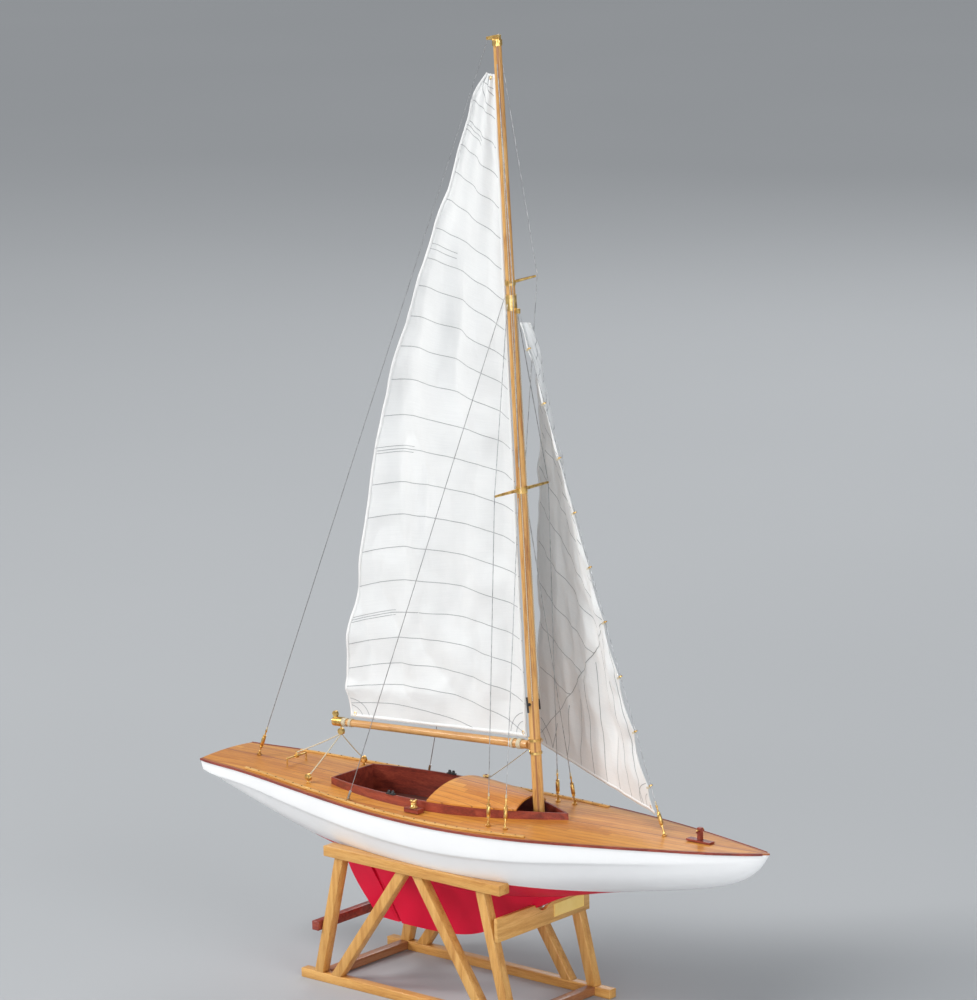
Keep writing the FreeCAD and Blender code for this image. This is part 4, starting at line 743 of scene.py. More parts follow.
@dataclass
class Studio:
    """Plain pale floor, soft lights and the camera."""

    aim: Vector = field(default_factory=lambda: Vector((0.0, 0.0, 0.5)))
    lens: float = 176.5
    camera_place: Vector = point_field(3202.777, -3705.686, 1620.029)
    right: Vector = field(default_factory=lambda: Vector((0.76053677, 0.64900038, -0.01955313)))
    up: Vector = field(default_factory=lambda: Vector((-0.12647995, 0.17761975, 0.97593752)))
    back: Vector = field(default_factory=lambda: Vector((0.63685684, -0.7397633, 0.21717189)))
    floor_size: float = 30.0
    sun_power: float = 1.15
    sun_spread: float = 0.35
    sky_colour: Colour = (0.80, 0.83, 0.87)
    sky_power: float = 0.38
    lamps: tuple[Lamp, ...] = (
        Lamp("key_light", (-2.9, -2.7, 2.4), 105.0, 1.2, (1.0, 0.985, 0.96)),
        Lamp("low_front_light", (2.2, -4.2, 0.35), 100.0, 2.0),
        Lamp("fill_light", (4.4, -1.2, 1.8), 85.0, 2.6, (0.95, 0.975, 1.0)),
        Lamp("back_light", (-1.6, 3.6, 2.8), 50.0, 2.4),
    )

    def build(self) -> None:
        """Makes the floor, the sky, the lights and the camera."""
        mesh = bmesh.new()
        bmesh.ops.create_grid(mesh, x_segments=1, y_segments=1, size=self.floor_size)
        shader = Shader("pale_floor_paper")
        cloud = shader.noise(shader.coordinates(), 0.6, 2.0)
        paper = shader.ramp(cloud, ((0.3, (0.40, 0.415, 0.43)), (0.7, (0.42, 0.435, 0.45))))
        shader.surface(Base_Color=paper, Roughness=0.85)
        data = bpy.data.meshes.new("floor")
        mesh.to_mesh(data)
        mesh.free()
        data.materials.append(shader.material)
        floor = placed("floor", data)
        world = bpy.data.worlds.new("soft_sky")
        world.use_nodes = True
        sky = world.node_tree.nodes["Background"].inputs
        sky[0].default_value, sky[1].default_value = rgba(self.sky_colour), self.sky_power
        bpy.context.scene.world = world
        for lamp in self.lamps:
            self.hang(lamp)
        data = bpy.data.lights.new("even_light", "SUN")
        data.energy, data.angle = self.sun_power, self.sun_spread
        sun = placed("even_light", data)
        sun.rotation_mode = "QUATERNION"
        sun.rotation_quaternion = Vector((0.35, 0.45, -1.0)).to_track_quat("-Z", "Y")
        bpy.context.scene.view_settings.view_transform = "Standard"
        self.set_camera()

    def hang(self, lamp: Lamp) -> None:
        """Puts a light in place, aimed at the model."""
        data = bpy.data.lights.new(lamp.name, "AREA")
        data.energy, data.size, data.color = lamp.power, lamp.width, lamp.colour
        light = placed(lamp.name, data)
        light.location = lamp.place
        light.rotation_mode = "QUATERNION"
        light.rotation_quaternion = (self.aim - light.location).to_track_quat("-Z", "Y")

    def set_camera(self) -> None:
        """Makes the camera and sets it as the scene's."""
        data = bpy.data.cameras.new("camera")
        data.lens, data.sensor_width = self.lens, 36.0
        data.clip_start, data.clip_end = 0.1, 100.0
        camera = placed("camera", data)
        turn = Matrix((self.right, self.up, self.back)).transposed().to_4x4()
        camera.matrix_world = Matrix.Translation(self.camera_place) @ turn
        bpy.context.scene.camera = camera


# ---------------------------------------------------------------- nodes that stay


class CarriedNodes:
    """Finishes for the nodes whose shapes stay as they are."""

    by_slot: dict[str, Finish] = {
        "hull_paint": Finish.HULL, "keel_paint": Finish.KEEL,
        "deck_wood": Finish.DECK, "mahogany": Finish.MAHOGANY,
        "spar_wood": Finish.BOOM, "stand_wood": Finish.UPRIGHT, "plywood": Finish.PLYWOOD, "brass": Finish.BRASS,
        "steel_wire": Finish.STEEL, "sail_cloth": Finish.CLOTH, "rope": Finish.ROPE, "black_plastic": Finish.BLACK,
        "white_plastic": Finish.WHITE, "battery_wrap": Finish.WRAP,
    }
    by_node: dict[str, Finish] = {"mast": Finish.MAST, "cockpit_sole": Finish.SOLE, "toe_rails": Finish.TOE_RAIL}

    def dress(self) -> None:
        """Gives each node the finish of its slot, or its own."""
        for part in frame["record"]["subparts"]:
            node = frame["nodes"][part["node"]]
            finish = self.by_node.get(part["node"], self.by_slot[part["material_slot"]])
            node.data.materials.clear()
            node.data.materials.append(finish.material)
        LOG.info("dressed %d nodes", len(frame["nodes"]))


@dataclass
class DisplayStand:
    """The stand's bars with rounded edges, and its blank name plate."""

    rounding: float = 0.0006
    rail_rounding: float = 0.0016
    parts: tuple[tuple[str, Finish], ...] = (
        ("stand_legs", Finish.UPRIGHT), ("stand_braces", Finish.UPRIGHT), ("stand_base_rails", Finish.RAIL),
        ("stand_crossbars", Finish.CROSS), ("stand_cradle_board", Finish.BOARD),
    )
    plate_border: float = 0.0012
    plate_step: float = 0.0002
    plate_sink: float = 0.00018

    def build(self) -> None:
        """Makes the rounded bars and the name plate."""
        for node, finish in self.parts:
            softened(node, finish, self.rounding).settle("stand", "stand_wood", node)
        rails = softened("stand_top_rails", Finish.RAIL, self.rail_rounding)
        rails.settle("stand", "stand_wood", "stand_top_rails")
        bar = softened("stand_mid_bar", Finish.MAHOGANY, self.rounding)
        bar.settle("stand", "mahogany", "stand_mid_bar")
        self.make_plate()

    def make_plate(self) -> None:
        """Makes the blank plate with a raised border and a pin at each corner."""
        mesh = clean_copy("name_plate")
        mesh.normal_update()
        front = max(mesh.faces, key=lambda f: f.normal.x * f.calc_area())
        bmesh.ops.inset_region(mesh, faces=[front], thickness=self.plate_border, depth=0.0)
        bmesh.ops.inset_region(mesh, faces=[front], thickness=self.plate_step, depth=-self.plate_sink)
        corners = [loop.vert.co.copy() for loop in front.loops]
        middle = sum(corners, Vector()) / len(corners)
        out = front.normal.copy()
        for corner in corners:
            spot = corner.lerp(middle, 0.10)
            add_rod(mesh, spot - out * 0.0002, spot + out * 0.0004, 0.0006, 0.0004, 10)
        Piece("brass_name_plate", mesh, Finish.PLATE, 30.0).settle("stand", "brass", "name_plate")


@dataclass
class ToeRailPins:
    """Row of small dark pins along each toe rail."""

    aft: float = -0.292
    fore: float = 0.100
    spacing: float = 0.0145
    radius: float = 0.0010
    height: float = 0.0004

    def rail_middle(self, rail: Surface, x: float, side: float) -> Vector | None:
        """Middle of the rail's top at a station."""
        hits = [rail.top(x, side * y * MM * 0.25) for y in range(120, 344)]
        found = [hit for hit in hits if hit is not None]
        return found[len(found) // 2] if found else None

    def build(self) -> None:
        """Sets the pins."""
        rail = Surface("toe_rails")
        mesh = bmesh.new()
        for k in range(int((self.fore - self.aft) / self.spacing) + 1):
            for side in (-1.0, 1.0):
                point = self.rail_middle(rail, self.aft + k * self.spacing, side)
                if point:
                    lift = Vector((0, 0, self.height))
                    add_rod(mesh, point - lift, point + lift, self.radius, self.radius * 0.7, 10)
        Piece("toe_rail_pins", mesh, Finish.PIN).settle("hull", "brass")


# ---------------------------------------------------------------- sails


def along_curve(points: Sequence[Vector], share: float) -> Vector:
    """Point at a share of the way along a smooth curve through evenly numbered points."""
    last = len(points) - 1
    low = min(int(share * last), last - 1)
    t = share * last - low
    start, end = points[low], points[low + 1]
    leave = (end - points[max(low - 1, 0)]) * 0.5
    arrive = (points[min(low + 2, last)] - start) * 0.5
    blend = start * (2 * t**3 - 3 * t**2 + 1) + end * (3 * t**2 - 2 * t**3)
    return blend + leave * (t**3 - 2 * t**2 + t) + arrive * (t**3 - t**2)


class Sail:
    """A sail as a smooth map from two shares, up the luff and back to the leech, to a point."""

    name: str = "sail"
    body: str = "hull"
    thickness: float = 0.0005
    columns: int = 84
    rows: int = 220
    height: float = 0.7
    patch_margin: float = 0.006
    normal_step: float = 0.004
    seam_width: float = 0.0007
    seam_proud: float = 0.00014
    tape_proud: float = 0.00018

    def point(self, up: float, back: float) -> Vector:
        """Point of the cloth."""
        raise NotImplementedError

    def normal(self, up: float, back: float) -> Vector:
        """Unit normal of the cloth."""
        step = self.normal_step
        u0, b0 = min(max(up, step), 1.0 - step), min(max(back, step), 1.0 - step)
        rise = self.point(u0 + step, b0) - self.point(u0 - step, b0)
        run = self.point(u0, b0 + step) - self.point(u0, b0 - step)
        return rise.cross(run).normalized()

    def chord(self, up: float) -> float:
        """Straight width of the cloth at a height."""
        return (self.point(up, 1.0) - self.point(up, 0.0)).length

    def texture(self, up: float, back: float) -> Vector:
        """Texture coordinates in metres."""
        return Vector((back * self.chord(up), up * self.height, 0.0))

    def cloth(self) -> Piece:
        """The sheet itself."""
        mesh = mapped_grid(
            self.columns, self.rows, lambda a, b: self.point(b, a), lambda a, b: self.texture(b, a)
        )
        return Piece(self.name + "_cloth", mesh, Finish.CLOTH, 70.0).thicken(self.thickness)

    def ribbon(self, mesh: BMesh, path: Path, width: float, steps: int) -> None:
        """Adds a narrow strip along a path in the middle of the cloth."""

        def place(a: float, b: float) -> Vector:
            """Point of the strip."""
            up, back = path(a)
            way = self.point(*path(min(a + 0.01, 1.0))) - self.point(*path(max(a - 0.01, 0.0)))
            side = way.cross(self.normal(up, back)).normalized()
            return self.point(up, back) + side * width * (b - 0.5)

        pour(mapped_grid(steps, 1, place), mesh)

    def corner_arcs(self, up: float, back: float, radii: Sequence[float]) -> list[Path]:
        """Stitch lines of the doubled cloth round a corner.

        Args:
            up: 0 for a corner at the foot, 1 for the head.
            back: 0 for a corner at the luff, 1 at the leech.
            radii: distances of the lines from the corner in metres.

        Returns:
            A path for each line.
        """
        chord, margin = max(self.chord(up), 0.03), self.patch_margin
        paths = []
        for radius in radii:
            high, wide = radius / self.height, min(radius / chord, 0.95)

            def path(a: float, high: float = high, wide: float = wide) -> tuple[float, float]:
                """Point of the line, as shares."""
                rise, run = high * math.sin(a * math.pi / 2.0), wide * math.cos(a * math.pi / 2.0)
                return (
                    abs(up - margin - rise) if up else margin + rise,
                    abs(back - margin - run) if back else margin + run,
                )

            paths.append(path)
        return paths

    def cringles(self, spots: Sequence[tuple[float, float]]) -> Piece:
        """Brass rings set into the corners."""
        mesh = bmesh.new()
        for up, back in spots:
            add_ring(mesh, self.point(up, back), self.normal(up, back), 0.0017, 0.0006, 20)
        return Piece(self.name + "_cringles", mesh, Finish.BRASS)

    def strips(
        self, label: str, paths: Iterable[Path], width: float, proud: float, finish: Finish, steps: int
    ) -> Piece:
        """A piece of many strips.

        Args:
            label: end of the piece's name.
            paths: middle line of each strip.
            width: width of a strip in metres.
            proud: how far it stands out of the cloth on each side.
            finish: its finish.
            steps: faces along each strip.

        Returns:
            The piece.
        """
        mesh = bmesh.new()
        for path in paths:
            self.ribbon(mesh, path, width, steps)
        return Piece(f"{self.name}_{label}", mesh, finish, 60.0).thicken(self.thickness + 2.0 * proud)

    def seam_strips(self, paths: Iterable[Path]) -> Piece:
        """The seams as one piece."""
        return self.strips("seams", paths, self.seam_width, self.seam_proud, Finish.SEAM, 80)

    def edge_tapes(self, leech: float, foot: float, width: float) -> Piece:
        """Tapes along the leech, the foot and the luff."""
        edges = [lambda a: (a, leech), lambda a: (foot, a), lambda a: (a, 0.012)]
        return self.strips("edge_tapes", edges, width, self.tape_proud, Finish.TAPE, 200)


@dataclass
class Mainsail(Sail):
    """The mainsail, with its foot along the boom and its luff along the mast."""

    name: str = "mainsail"
    body: str = "boom"
    height: float = 0.70
    luff_foot: Vector = point_field(58.5, 0.0, 287.6)
    luff_head: Vector = point_field(31.7, 0.0, 971.0)
    leech: Outline = (
        (-196.0, 268.0), (-199.8, 292.0), (-201.5, 312.0), (-197.0, 345.0), (-191.0, 378.0), (-181.0, 425.0),
        (-171.0, 472.0), (-162.0, 517.0), (-152.0, 563.0), (-140.5, 610.0), (-122.6, 660.0), (-104.6, 701.0),
        (-86.2, 743.0), (-70.0, 780.0), (-52.6, 820.0), (-37.0, 856.0), (-21.6, 892.0), (-8.8, 923.0),
        (3.2, 949.0), (22.5, 971.0),
    )
    belly: float = 0.036
    runner_foot: Vector = point_field(-134.0, 64.2, 205.0)
    runner_head: Vector = point_field(43.1, 5.0, 745.0)
    runner_gap: float = 0.0012
    boom_pivot: Vector = point_field(61.6, 0.0, 281.0)
    boom_axis: Vector = field(default_factory=lambda: Vector((-0.0464, 0.0, 0.9989)))
    boom_travel: float = 9.0
    swing: float = 0.0454
    full_chord: float = 0.25
    seams: int = 23

    def point(self, up: float, back: float) -> Vector:
        """Point of the cloth."""
        luff = self.luff_foot.lerp(self.luff_head, up)
        edge = along_curve([mm(x, 0.0, z) for x, z in self.leech], up)
        aft = luff.lerp(edge, back)
        chord = (edge - luff).length
        out = self.swing * chord * back
        out += self.belly * chord * 4.0 * back * (1.0 - back) * math.sin(math.pi * min(up + 0.06, 1.0))
        out += 14.0 * MM * back * up * (1.0 - up)
        return self.clear_runner(aft + Vector((0.0, out + self.folds(up, back, chord), 0.0)))

    def clear_runner(self, spot: Vector) -> Vector:
        """Holds a point back from where the port runner lies when the boom is swung out to it.

        Args:
            spot: point of the cloth with the boom at rest.

        Returns:
            The point, pressed in where it would pass the runner.
        """
        turn = Matrix.Rotation(math.radians(self.boom_travel), 3, self.boom_axis)
        foot = self.boom_pivot + turn @ (self.runner_foot - self.boom_pivot)
        head = self.boom_pivot + turn @ (self.runner_head - self.boom_pivot)
        line = foot.lerp(head, (spot.z - foot.z) / (head.z - foot.z))
        limit = line.y - self.runner_gap + 0.16 * abs(spot.x - line.x)
        return Vector((spot.x, min(spot.y, limit), spot.z)) if foot.z < spot.z < head.z else spot

    def folds(self, up: float, back: float, chord: float) -> float:
        """Sideways push of the soft folds.

        Args:
            up: share up the luff.
            back: share from the luff to the leech.
            chord: width of the sail there, which scales the folds.

        Returns:
            The push in metres.
        """
        share = chord / self.full_chord
        wide = math.sin(TURN * (1.15 * back + 0.25 * up) + 0.4) * 3.6
        tall = math.sin(TURN * (2.7 * back - 0.5 * up + 0.12 * math.sin(7.0 * up)) + 1.1) * 2.8
        slant = math.sin(TURN * (1.6 * back + 2.1 * up)) * 1.5 * (1.0 - up)
        broad = noise.noise(Vector((back * 3.2, up * 5.0, 3.1))) * 5.5
        fine = noise.noise(Vector((back * 9.0 * share, up * 17.0, 8.4))) * 2.8
        crisp = noise.noise(Vector((back * 22.0 * share, up * 40.0, 1.7))) * 0.9
        crease = abs(noise.noise(Vector((back * 5.0 * share + 1.5 * up, up * 9.0 - 1.8 * back, 5.5)))) * 6.5
        flutter = math.sin(TURN * 9.0 * up + 0.5) * 1.6 * back**6
        hold = min(1.0, back * 9.0) * min(1.0, up * 14.0 + 0.25 * (1.0 - back))
        hold = hold * min(1.0, (1.0 - up) * 8.0 + 0.15)
        push = wide + tall + slant + broad + fine + crisp - crease + flutter
        return push * hold * (0.45 + 0.55 * share) * MM

    def seam_path(self, start: float) -> Path:
        """Path of a seam that leaves the leech at a share of its height and bends down to the luff."""
        chord = self.chord(start)
        low = max(0.0, 1.0 - start * 2.2)

        def path(a: float) -> tuple[float, float]:
            """Point of the seam, as shares."""
            fall = (0.13 * a - (0.21 + 0.13 * low) * a * a) * chord / self.height
            return (min(max(start + fall * min(1.0, 3.0 * (1.0 - start)), 0.002), 0.998), 1.0 - a)

        return path

    def batten_paths(self) -> list[Path]:
        """Two long sides of each batten pocket."""
        paths = []
        for start, length in ((0.875, 0.55), (0.69, 0.36), (0.415, 0.26), (0.20, 0.24)):
            seam = self.seam_path(start)
            for shift in (0.0, 0.0075):
                paths.append(lambda a, s=seam, m=length, d=shift: (s(a * m)[0] + d, s(a * m)[1]))
        return paths

    def build(self) -> None:
        """Makes the cloth with its seams, pockets, tapes and patches."""
        cloth = self.cloth()
        seams = [self.seam_path((k + 0.75) / (self.seams + 0.3)) for k in range(self.seams)]
        patches = ((0.0, 1.0, (0.016, 0.026)), (0.0, 0.0, (0.014, 0.023)), (1.0, 0.0, (0.02, 0.034)))
        for up, back, radii in patches:
            seams += self.corner_arcs(up, back, radii)
        stitched = self.seam_strips(seams)
        pockets = self.strips("batten_pockets", self.batten_paths(), 0.0006, 0.00016, Finish.SEAM, 24)
        tapes = self.edge_tapes(0.994, 0.004, 0.0036)
        cloth.settle(self.body, "sail_cloth", "mainsail")
        extras = [p.settle(self.body, "sail_cloth") for p in (stitched, pockets, tapes)]
        rings = self.cringles(((0.009, 0.975), (0.008, 0.02), (0.992, 0.45)))
        extras.append(rings.settle(self.body, "brass"))


@dataclass
class Jib(Sail):
    """The jib, hanked to the forestay, with a scalloped luff."""

    name: str = "jib"
    body: str = "jib"
    height: float = 0.50
    rows: int = 200
    tack: Vector = point_field(228.6, 0.0, 235.7)
    screw_gap: Vector = point_field(-2.27, 0.0, -0.79)
    head: Vector = point_field(60.2, 0.0, 721.7)
    leech: tuple[tuple[float, float, float], ...] = (
        (16.0, 68.0, 262.0), (12.3, 71.0, 350.0), (13.5, 72.0, 440.0), (20.5, 68.0, 525.0),
        (33.0, 56.0, 600.0), (48.5, 38.0, 655.0), (65.0, 20.0, 695.0), (68.0, 4.5, 721.0),
    )
    belly: float = 0.009
    scallop: float = 0.0095
    hanks: int = 9
    mitre_luff: float = 0.40
    mitre_leech: float = 0.02

    def point(self, up: float, back: float) -> Vector:
        """Point of the cloth."""
        luff = self.tack.lerp(self.head, up) + self.screw_gap * max(0.0, 1.0 - 8.0 * up)
        edge = along_curve([mm(*p) for p in self.leech], up)
        sag = 4.0 * back * (1.0 - back)
        spot = luff.lerp(edge, back)
        hang = abs(math.cos(math.pi * self.hanks * up)) * self.scallop * (1.0 - back) ** 5
        hang *= min(1.0, up * 22.0) * min(1.0, (1.0 - up) * 8.0)
        spot += (edge - luff).normalized() * hang
        spot.y += self.belly * sag * (1.0 - 0.8 * up)
        spot.z += -6.0 * MM * sag * (1.0 - up) ** 3
        return spot + Vector((0.42, 0.9, 0.0)) * self.folds(up, back)

    def seizings(self) -> Piece:
        """Thread loops that tie the luff to the hanks."""
        mesh = bmesh.new()
        along = (self.head - self.tack).normalized()
        aft = Vector((-along.z, 0.0, along.x))
        for k in range(self.hanks):
            middle = self.point((k + 0.5) / self.hanks, 0.0)
            for step in (-0.0007, 0.0, 0.0007):
                add_ring(mesh, middle + along * step + aft * 0.0008, along, 0.0019, 0.0003, 16)
        return Piece("jib_hank_seizings", mesh, Finish.ROPE)

    def folds(self, up: float, back: float) -> float:
        """Push of the folds that hang from the hanks and run down the cloth."""
        tall = math.sin(TURN * (3.1 * back + 0.7 * up + 0.1 * math.sin(9.0 * up))) * 1.9
        narrow = math.sin(TURN * (6.3 * back - 0.6 * up)) * 1.1 * (1.0 - back)
        hung = math.cos(TURN * self.hanks * up) * 2.2 * (1.0 - back) ** 2.2
        broad = noise.noise(Vector((back * 4.0, up * 5.0, 12.2))) * 3.0
        fine = noise.noise(Vector((back * 13.0, up * 17.0, 4.9))) * 2.6
        crisp = noise.noise(Vector((back * 26.0, up * 36.0, 6.6))) * 1.0
        crease = abs(noise.noise(Vector((back * 6.0 + 1.2 * up, up * 9.0 - 2.0 * back, 2.5)))) * 5.0
        hold = min(1.0, back * 12.0) * min(1.0, up * 10.0 + 0.2) * min(1.0, (1.0 - up) * 6.0)
        return (tall + narrow + hung + broad + fine + crisp + crease) * hold * (1.0 - 0.5 * up) * MM

    def mitre(self, a: float) -> tuple[float, float]:
        """Point of the seam that crosses from the luff to the clew, as shares."""
        return (self.mitre_luff + (self.mitre_leech - self.mitre_luff) * a, a)

    def build(self) -> None:
        """Makes the cloth with its mitre, seams, tapes and patches."""
        cloth = self.cloth()
        mitre = self.mitre
        paths: list[Path] = [mitre]
        for k in range(1, 13):
            level = 0.06 + 0.072 * k
            paths.append(
                lambda a, v=level: (min(max(v - 0.055 * (1 - a) * (1 - 0.5 * a), mitre(a)[0]), 0.995), a)
            )
        for k in range(1, 9):
            across = k / 9.0
            paths.append(lambda a, c=across: (0.004 + (mitre(c)[0] - 0.004) * a, c - 0.04 * a))
        for back, radii in ((1.0, (0.014, 0.024)), (0.0, (0.016, 0.027))):
            paths += self.corner_arcs(0.0, back, radii)
        stitched = self.seam_strips(paths)
        tapes = self.edge_tapes(0.992, 0.005, 0.003)
        cloth.settle(self.body, "sail_cloth", "jib")
        extras = [p.settle(self.body, "sail_cloth") for p in (stitched, tapes)]
        extras.append(self.cringles(((0.010, 0.975), (0.012, 0.025))).settle(self.body, "brass"))
        extras.append(self.seizings().settle(self.body, "rope"))


# ---------------------------------------------------------------- lines


@dataclass
class RunningLines:
    """Mainsheet falls, halyards and other light lines that are made fast at both ends."""

    sheet_radius: float = 0.00065
    thin_radius: float = 0.00048
    boom_block: Vector = point_field(-211.4, 12.3, 246.0)
    clew: Vector = point_field(17.5, 67.0, 263.0)
    winch: Vector = point_field(-48.0, 58.0, 213.0)
    boom_root: Vector = point_field(60.42, 0.0, 281.0)
    boom_way: Vector = field(default_factory=lambda: Vector((-0.99575, 0.04522, -0.0802)))
    lashings: tuple[tuple[float, int], ...] = ((0.009, 6), (0.020, 3), (0.256, 4), (0.264, 7))
    lashing_pitch: float = 0.0009
    halyard_foot: float = 330.0
    halyard_heads: tuple[tuple[str, float, float], ...] = (("starboard", -1.0, 968.0), ("port", 1.0, 735.0))

    def build(self) -> None:
        """Makes every line."""
        falls = (("horse", -266.0, 0.0, 219.0), ("port", -209.0, 44.0, 211.5), ("starboard", -209.0, -44.0, 211.5))
        for label, x, y, z in falls:
            foot = mm(x, y, z)
            name = f"mainsheet_fall_{label}"
            piece = self.slack_line(name, foot, self.boom_block, 0.0015, self.sheet_radius)
            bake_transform(piece.object, "hull", "boom", start=tuple(foot), end=tuple(self.boom_block))
            if label == "horse":
                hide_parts("mainsheet")
            LOG.info("%s runs from hull to boom", piece.object.name)
        self.lead_jib_sheet()
        self.lash_boom()
        self.make_halyards()

    def slack_line(self, name: str, start: Vector, end: Vector, sag: float, radius: float) -> Piece:
        """Line between two points with a little sag in its middle."""
        middle = start.lerp(end, 0.5) - Vector((0, 0, sag))
        return tube(name, [start, middle, end], radius, Finish.ROPE)

    def lead_jib_sheet(self) -> None:
        """Leads the port jib sheet from the clew to its winch, with three turns on the barrel."""
        side = Vector((0.0, 0.0028, 0.0))
        piece = self.slack_line("jib_sheet_port", self.clew, self.winch + side, 0.002, self.thin_radius)
        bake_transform(piece.object, "jib", "hull", start=tuple(self.clew), end=tuple(self.winch))
        LOG.info("%s runs from jib to hull", piece.object.name)
        turns = bmesh.new()
        low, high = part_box("winch_drum_port")
        middle = (low + high) / 2.0
        radius = 0.62 * 0.5 * (high.x - low.x) + 0.0005
        for k in range(3):
            height = low.z + (high.z - low.z) * (0.38 + 0.12 * k)
            centre = Vector((middle.x, middle.y, height))
            add_ring(turns, centre, Vector((0, 0.02, 1)), radius, self.thin_radius, 24)
        Piece("jib_sheet_turns", turns, Finish.ROPE).settle("winch_port", "rope")

    def lash_boom(self) -> None:
        """Seizes the sail's foot to the boom near both ends."""
        mesh = bmesh.new()
        way = self.boom_way
        for start, count in self.lashings:
            for k in range(count):
                along = start + self.lashing_pitch * k
                radius = 0.0046 - 0.0008 * along / 0.281 + 0.0005
                spot = self.boom_root + way * along
                add_ring(mesh, spot, way + Vector((0, 0, 0.06)), radius, self.thin_radius, 28)
        Piece("boom_lashings", mesh, Finish.ROPE).settle("boom", "rope")

    def make_halyards(self) -> None:
        """Runs both halyards down the mast's forward side."""
        for label, side, head in self.halyard_heads:
            points = []
            for k in range(6):
                z = self.halyard_foot + (head - self.halyard_foot) * k / 5.0
                x = 69.62 - (z - 281.0) * RAKE
                radius = 6.0 - 1.8 * (z - 132.0) / 874.0 + 0.75
                points.append(mm(x + radius * 0.55, side * radius * 0.84, z))
            line = tube(f"halyard_{label}", points, self.thin_radius * 0.8, Finish.ROPE)
            line.settle("hull", "rope")


@dataclass
class BowPin:
    """Brass bar through the head of the bow post."""

    reach: float = 0.0046
    radius: float = 0.0007

    def build(self) -> None:
        """Makes the bar with a rounded knob at each end."""
        low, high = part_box("bow_post")
        middle = Vector(((low.x + high.x) / 2.0, (low.y + high.y) / 2.0, high.z - 0.0024))
        mesh = bmesh.new()
        ends = [middle + Vector((0.0, side * self.reach, 0.0)) for side in (-1.0, 1.0)]
        add_rod(mesh, ends[0], ends[1], self.radius, self.radius, 16)
        for end in ends:
            knob = bmesh.ops.create_uvsphere(mesh, u_segments=12, v_segments=8, radius=self.radius * 1.5)
            bmesh.ops.translate(mesh, vec=end, verts=knob["verts"])
        Piece("bow_post_pin", mesh, Finish.BRASS).settle("hull", "brass")


@dataclass
class CoamingCleats:
    """Small black cam cleats on the coaming at the corners of the coachroof."""

    place: tuple[float, float, float] = (-88.0, 48.3, 213.9)
    plate: tuple[float, float, float] = (0.011, 0.0042, 0.0012)
    jaw: Outline = ((0.0, 0.0), (0.0, 1.0), (0.35, 1.0), (0.5, 0.8), (0.9, 0.75), (1.0, 0.5), (1.0, 0.0))

    def build(self) -> None:
        """Makes a pair of cleats."""
        mesh = bmesh.new()
        x, y, z = self.place
        for side in (-1.0, 1.0):
            base = bmesh.ops.create_cube(mesh, size=1.0)["verts"]
            bmesh.ops.scale(mesh, vec=self.plate, verts=base)
            bmesh.ops.translate(mesh, vec=mm(x, side * y, z + 0.5), verts=base)
            edges = list({e for v in base for e in v.link_edges})
            bmesh.ops.bevel(mesh, geom=edges, offset=0.0003, segments=2, profile=0.5, affect="EDGES", material=-1)
            for step in (-2.6, 2.6):
                turned(mesh, mm(x + step, side * y, z + 1.1), UP, scaled(self.jaw, 0.0030, 0.0019), 16)
        Piece("coaming_cam_cleats", mesh, Finish.BLACK).settle("hull", "black_plastic")


@dataclass
class Turnbuckles:
    """Bottle screws at the feet of the shrouds and stays, each with a ring and a seizing of light line."""

    length: float = 0.030
    radius: float = 0.0021
    lines: tuple[tuple[tuple[float, float, float], tuple[float, float, float]], ...] = (
        ((51.6, -56.0, 207.2), (57.2, -42.5, 549.0)), ((51.6, 56.0, 207.2), (57.2, 42.5, 549.0)),
        ((74.2, -56.0, 208.3), (57.5, -6.5, 541.0)), ((74.2, 56.0, 208.3), (57.5, 6.5, 541.0)),
        ((237.0, 0.0, 217.2), (57.9, 0.0, 733.0)), ((-321.0, 0.0, 209.5), (23.4, 0.0, 1004.9)),
    )
    outline: Outline = (
        (0.0, 0.0), (0.0, 0.62), (0.10, 0.62), (0.12, 0.36), (0.24, 0.36), (0.25, 0.9), (0.29, 0.9), (0.30, 0.6),
        (0.34, 1.0), (0.66, 1.0), (0.70, 0.6), (0.71, 0.9), (0.75, 0.9), (0.76, 0.36), (0.90, 0.36), (0.91, 0.6),
        (0.985, 0.5), (1.0, 0.0),
    )

    def build(self) -> None:
        """Makes all six and their seizings."""
        mesh, seizing = bmesh.new(), bmesh.new()
        for foot, head in self.lines:
            start, way = mm(*foot), (mm(*head) - mm(*foot)).normalized()
            turned(mesh, start, way, scaled(self.outline, self.length, self.radius), 20)
            across = Vector((0, 1, 0)).cross(way) + Vector((0.3, 0, 0))
            add_ring(mesh, start + way * 0.0004, across, 0.0014, 0.00045, 16)
            for k in range(5):
                add_ring(seizing, start + way * (self.length + 0.0006 + 0.0007 * k), way, 0.00062, 0.00036, 10)
        Piece("bottle_screws", mesh, Finish.BRASS).settle("hull", "brass", "turnbuckles")
        Piece("stay_seizings", seizing, Finish.ROPE).settle("hull", "rope")


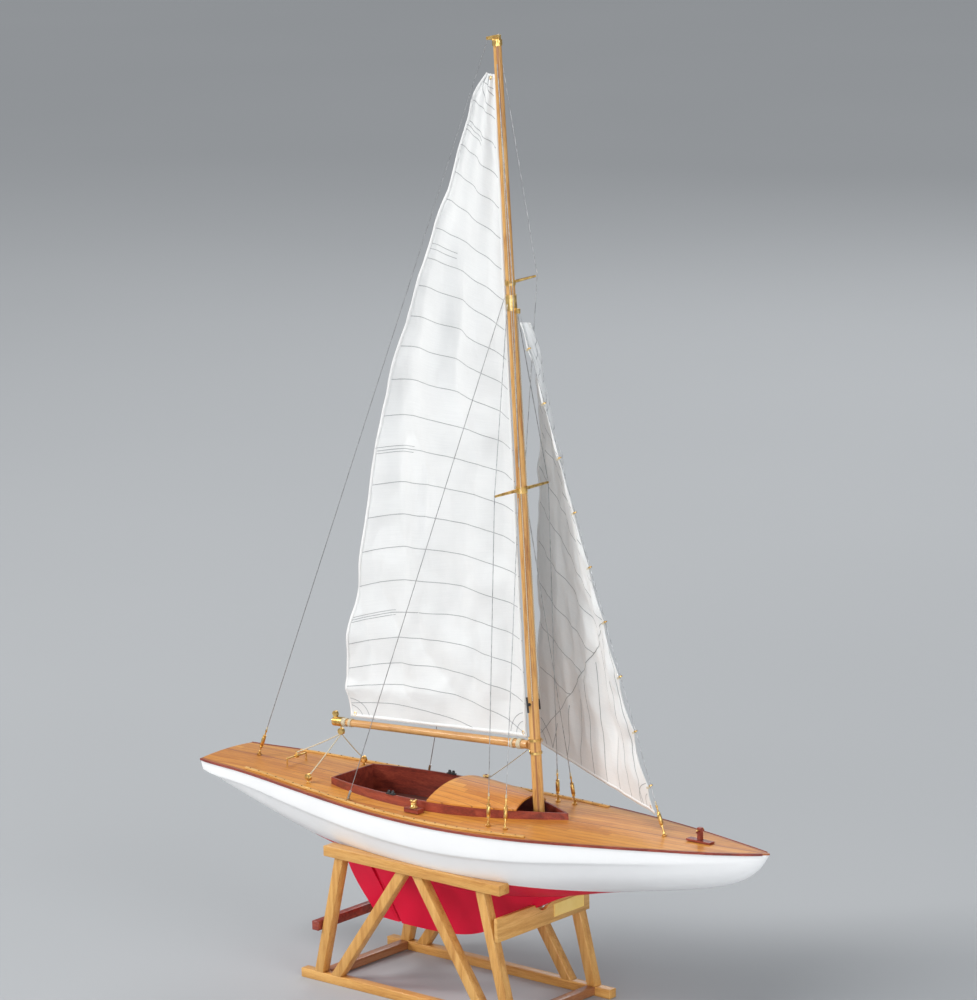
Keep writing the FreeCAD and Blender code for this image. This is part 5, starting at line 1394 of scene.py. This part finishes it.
@dataclass
class Winches:
    """Sheet winches with a ribbed barrel, a flared crown and a handle socket."""

    outline: Outline = (
        (0.0, 0.0), (0.0, 1.0), (0.10, 1.0), (0.14, 0.82), (0.20, 0.80), (0.26, 0.66), (0.36, 0.60), (0.39, 0.66),
        (0.44, 0.60), (0.50, 0.60), (0.53, 0.66), (0.58, 0.60), (0.68, 0.62), (0.78, 0.80), (0.82, 0.92),
        (0.90, 0.92), (0.95, 0.84), (0.96, 0.36), (0.90, 0.34), (0.90, 0.0),
    )

    def build(self) -> None:
        """Makes both winches, each on its own body."""
        for side in ("starboard", "port"):
            low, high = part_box(f"winch_drum_{side}")
            mesh = bmesh.new()
            middle = (low + high) / 2.0
            base = Vector((middle.x, middle.y, low.z))
            radius = 0.5 * (high.x - low.x)
            turned(mesh, base, UP, scaled(self.outline, high.z - low.z, radius), 32)
            for k in range(10):
                turn = math.radians(36.0 * k)
                spot = base + Vector((math.cos(turn), math.sin(turn), 0.0)) * radius * 0.62
                rise = Vector((0, 0, high.z - low.z))
                add_rod(mesh, spot + rise * 0.30, spot + rise * 0.68, 0.00035, sides=6)
            barrel = Piece(f"winch_{side}_barrel", mesh, Finish.BRASS)
            barrel.settle(f"winch_{side}", "brass", f"winch_drum_{side}")


@dataclass
class DeckBlocks:
    """Sheet blocks on the side decks: two cheeks, a grooved sheave, a pin and a turned foot."""

    place: tuple[float, float, float] = (-209.0, 44.0, 204.9)
    rise: float = 0.0060
    cheek: float = 0.0038
    foot: Outline = (
        (0.0, 0.0), (0.0, 1.0), (0.25, 1.0), (0.4, 0.62), (0.8, 0.55), (1.0, 0.8), (1.0, 0.0),
    )
    sheave: Outline = (
        (0.0, 0.0), (0.0, 1.0), (0.2, 1.0), (0.5, 0.78), (0.8, 1.0), (1.0, 1.0), (1.0, 0.0),
    )
    plate: Outline = ((0.0, 0.0), (0.0, 0.93), (0.3, 1.0), (0.7, 1.0), (1.0, 0.9), (1.0, 0.0))
    pin: Outline = ((0.0, 0.0), (0.0, 1.0), (1.0, 0.8), (1.0, 0.0))

    def build(self) -> None:
        """Makes both blocks."""
        mesh = bmesh.new()
        x, y, z = self.place
        across = Vector((0, 1, 0))
        for side in (-1.0, 1.0):
            base = mm(x, side * y, z)
            centre = base + Vector((0, 0, self.rise))
            turned(mesh, base, UP, scaled(self.foot, 0.0031, 0.0022))
            turned(mesh, centre - across * 0.00095, across, scaled(self.sheave, 0.0019, 0.0029))
            for face in (-1.0, 1.0):
                start = centre + across * face * 0.00115
                turned(mesh, start, across * face, scaled(self.plate, 0.0006, self.cheek))
                turned(mesh, start, across * face, scaled(self.pin, 0.0011, 0.0009), 12)
        Piece("sheet_block_sheaves", mesh, Finish.BRASS).settle("hull", "brass", "deck_blocks")


def main() -> None:
    """Builds everything in order."""
    logging.basicConfig(level=logging.INFO, format="%(name)s: %(message)s")
    makers = (
        Studio(), Mainsail(), Jib(), RunningLines(), BowPin(), CoamingCleats(),
        Turnbuckles(), Winches(), DeckBlocks(), DisplayStand(), ToeRailPins(),
    )
    for builder in makers:
        LOG.info("building %s", type(builder).__name__)
        builder.build()
    CarriedNodes().dress()


if __name__ == "__main__":
    main()
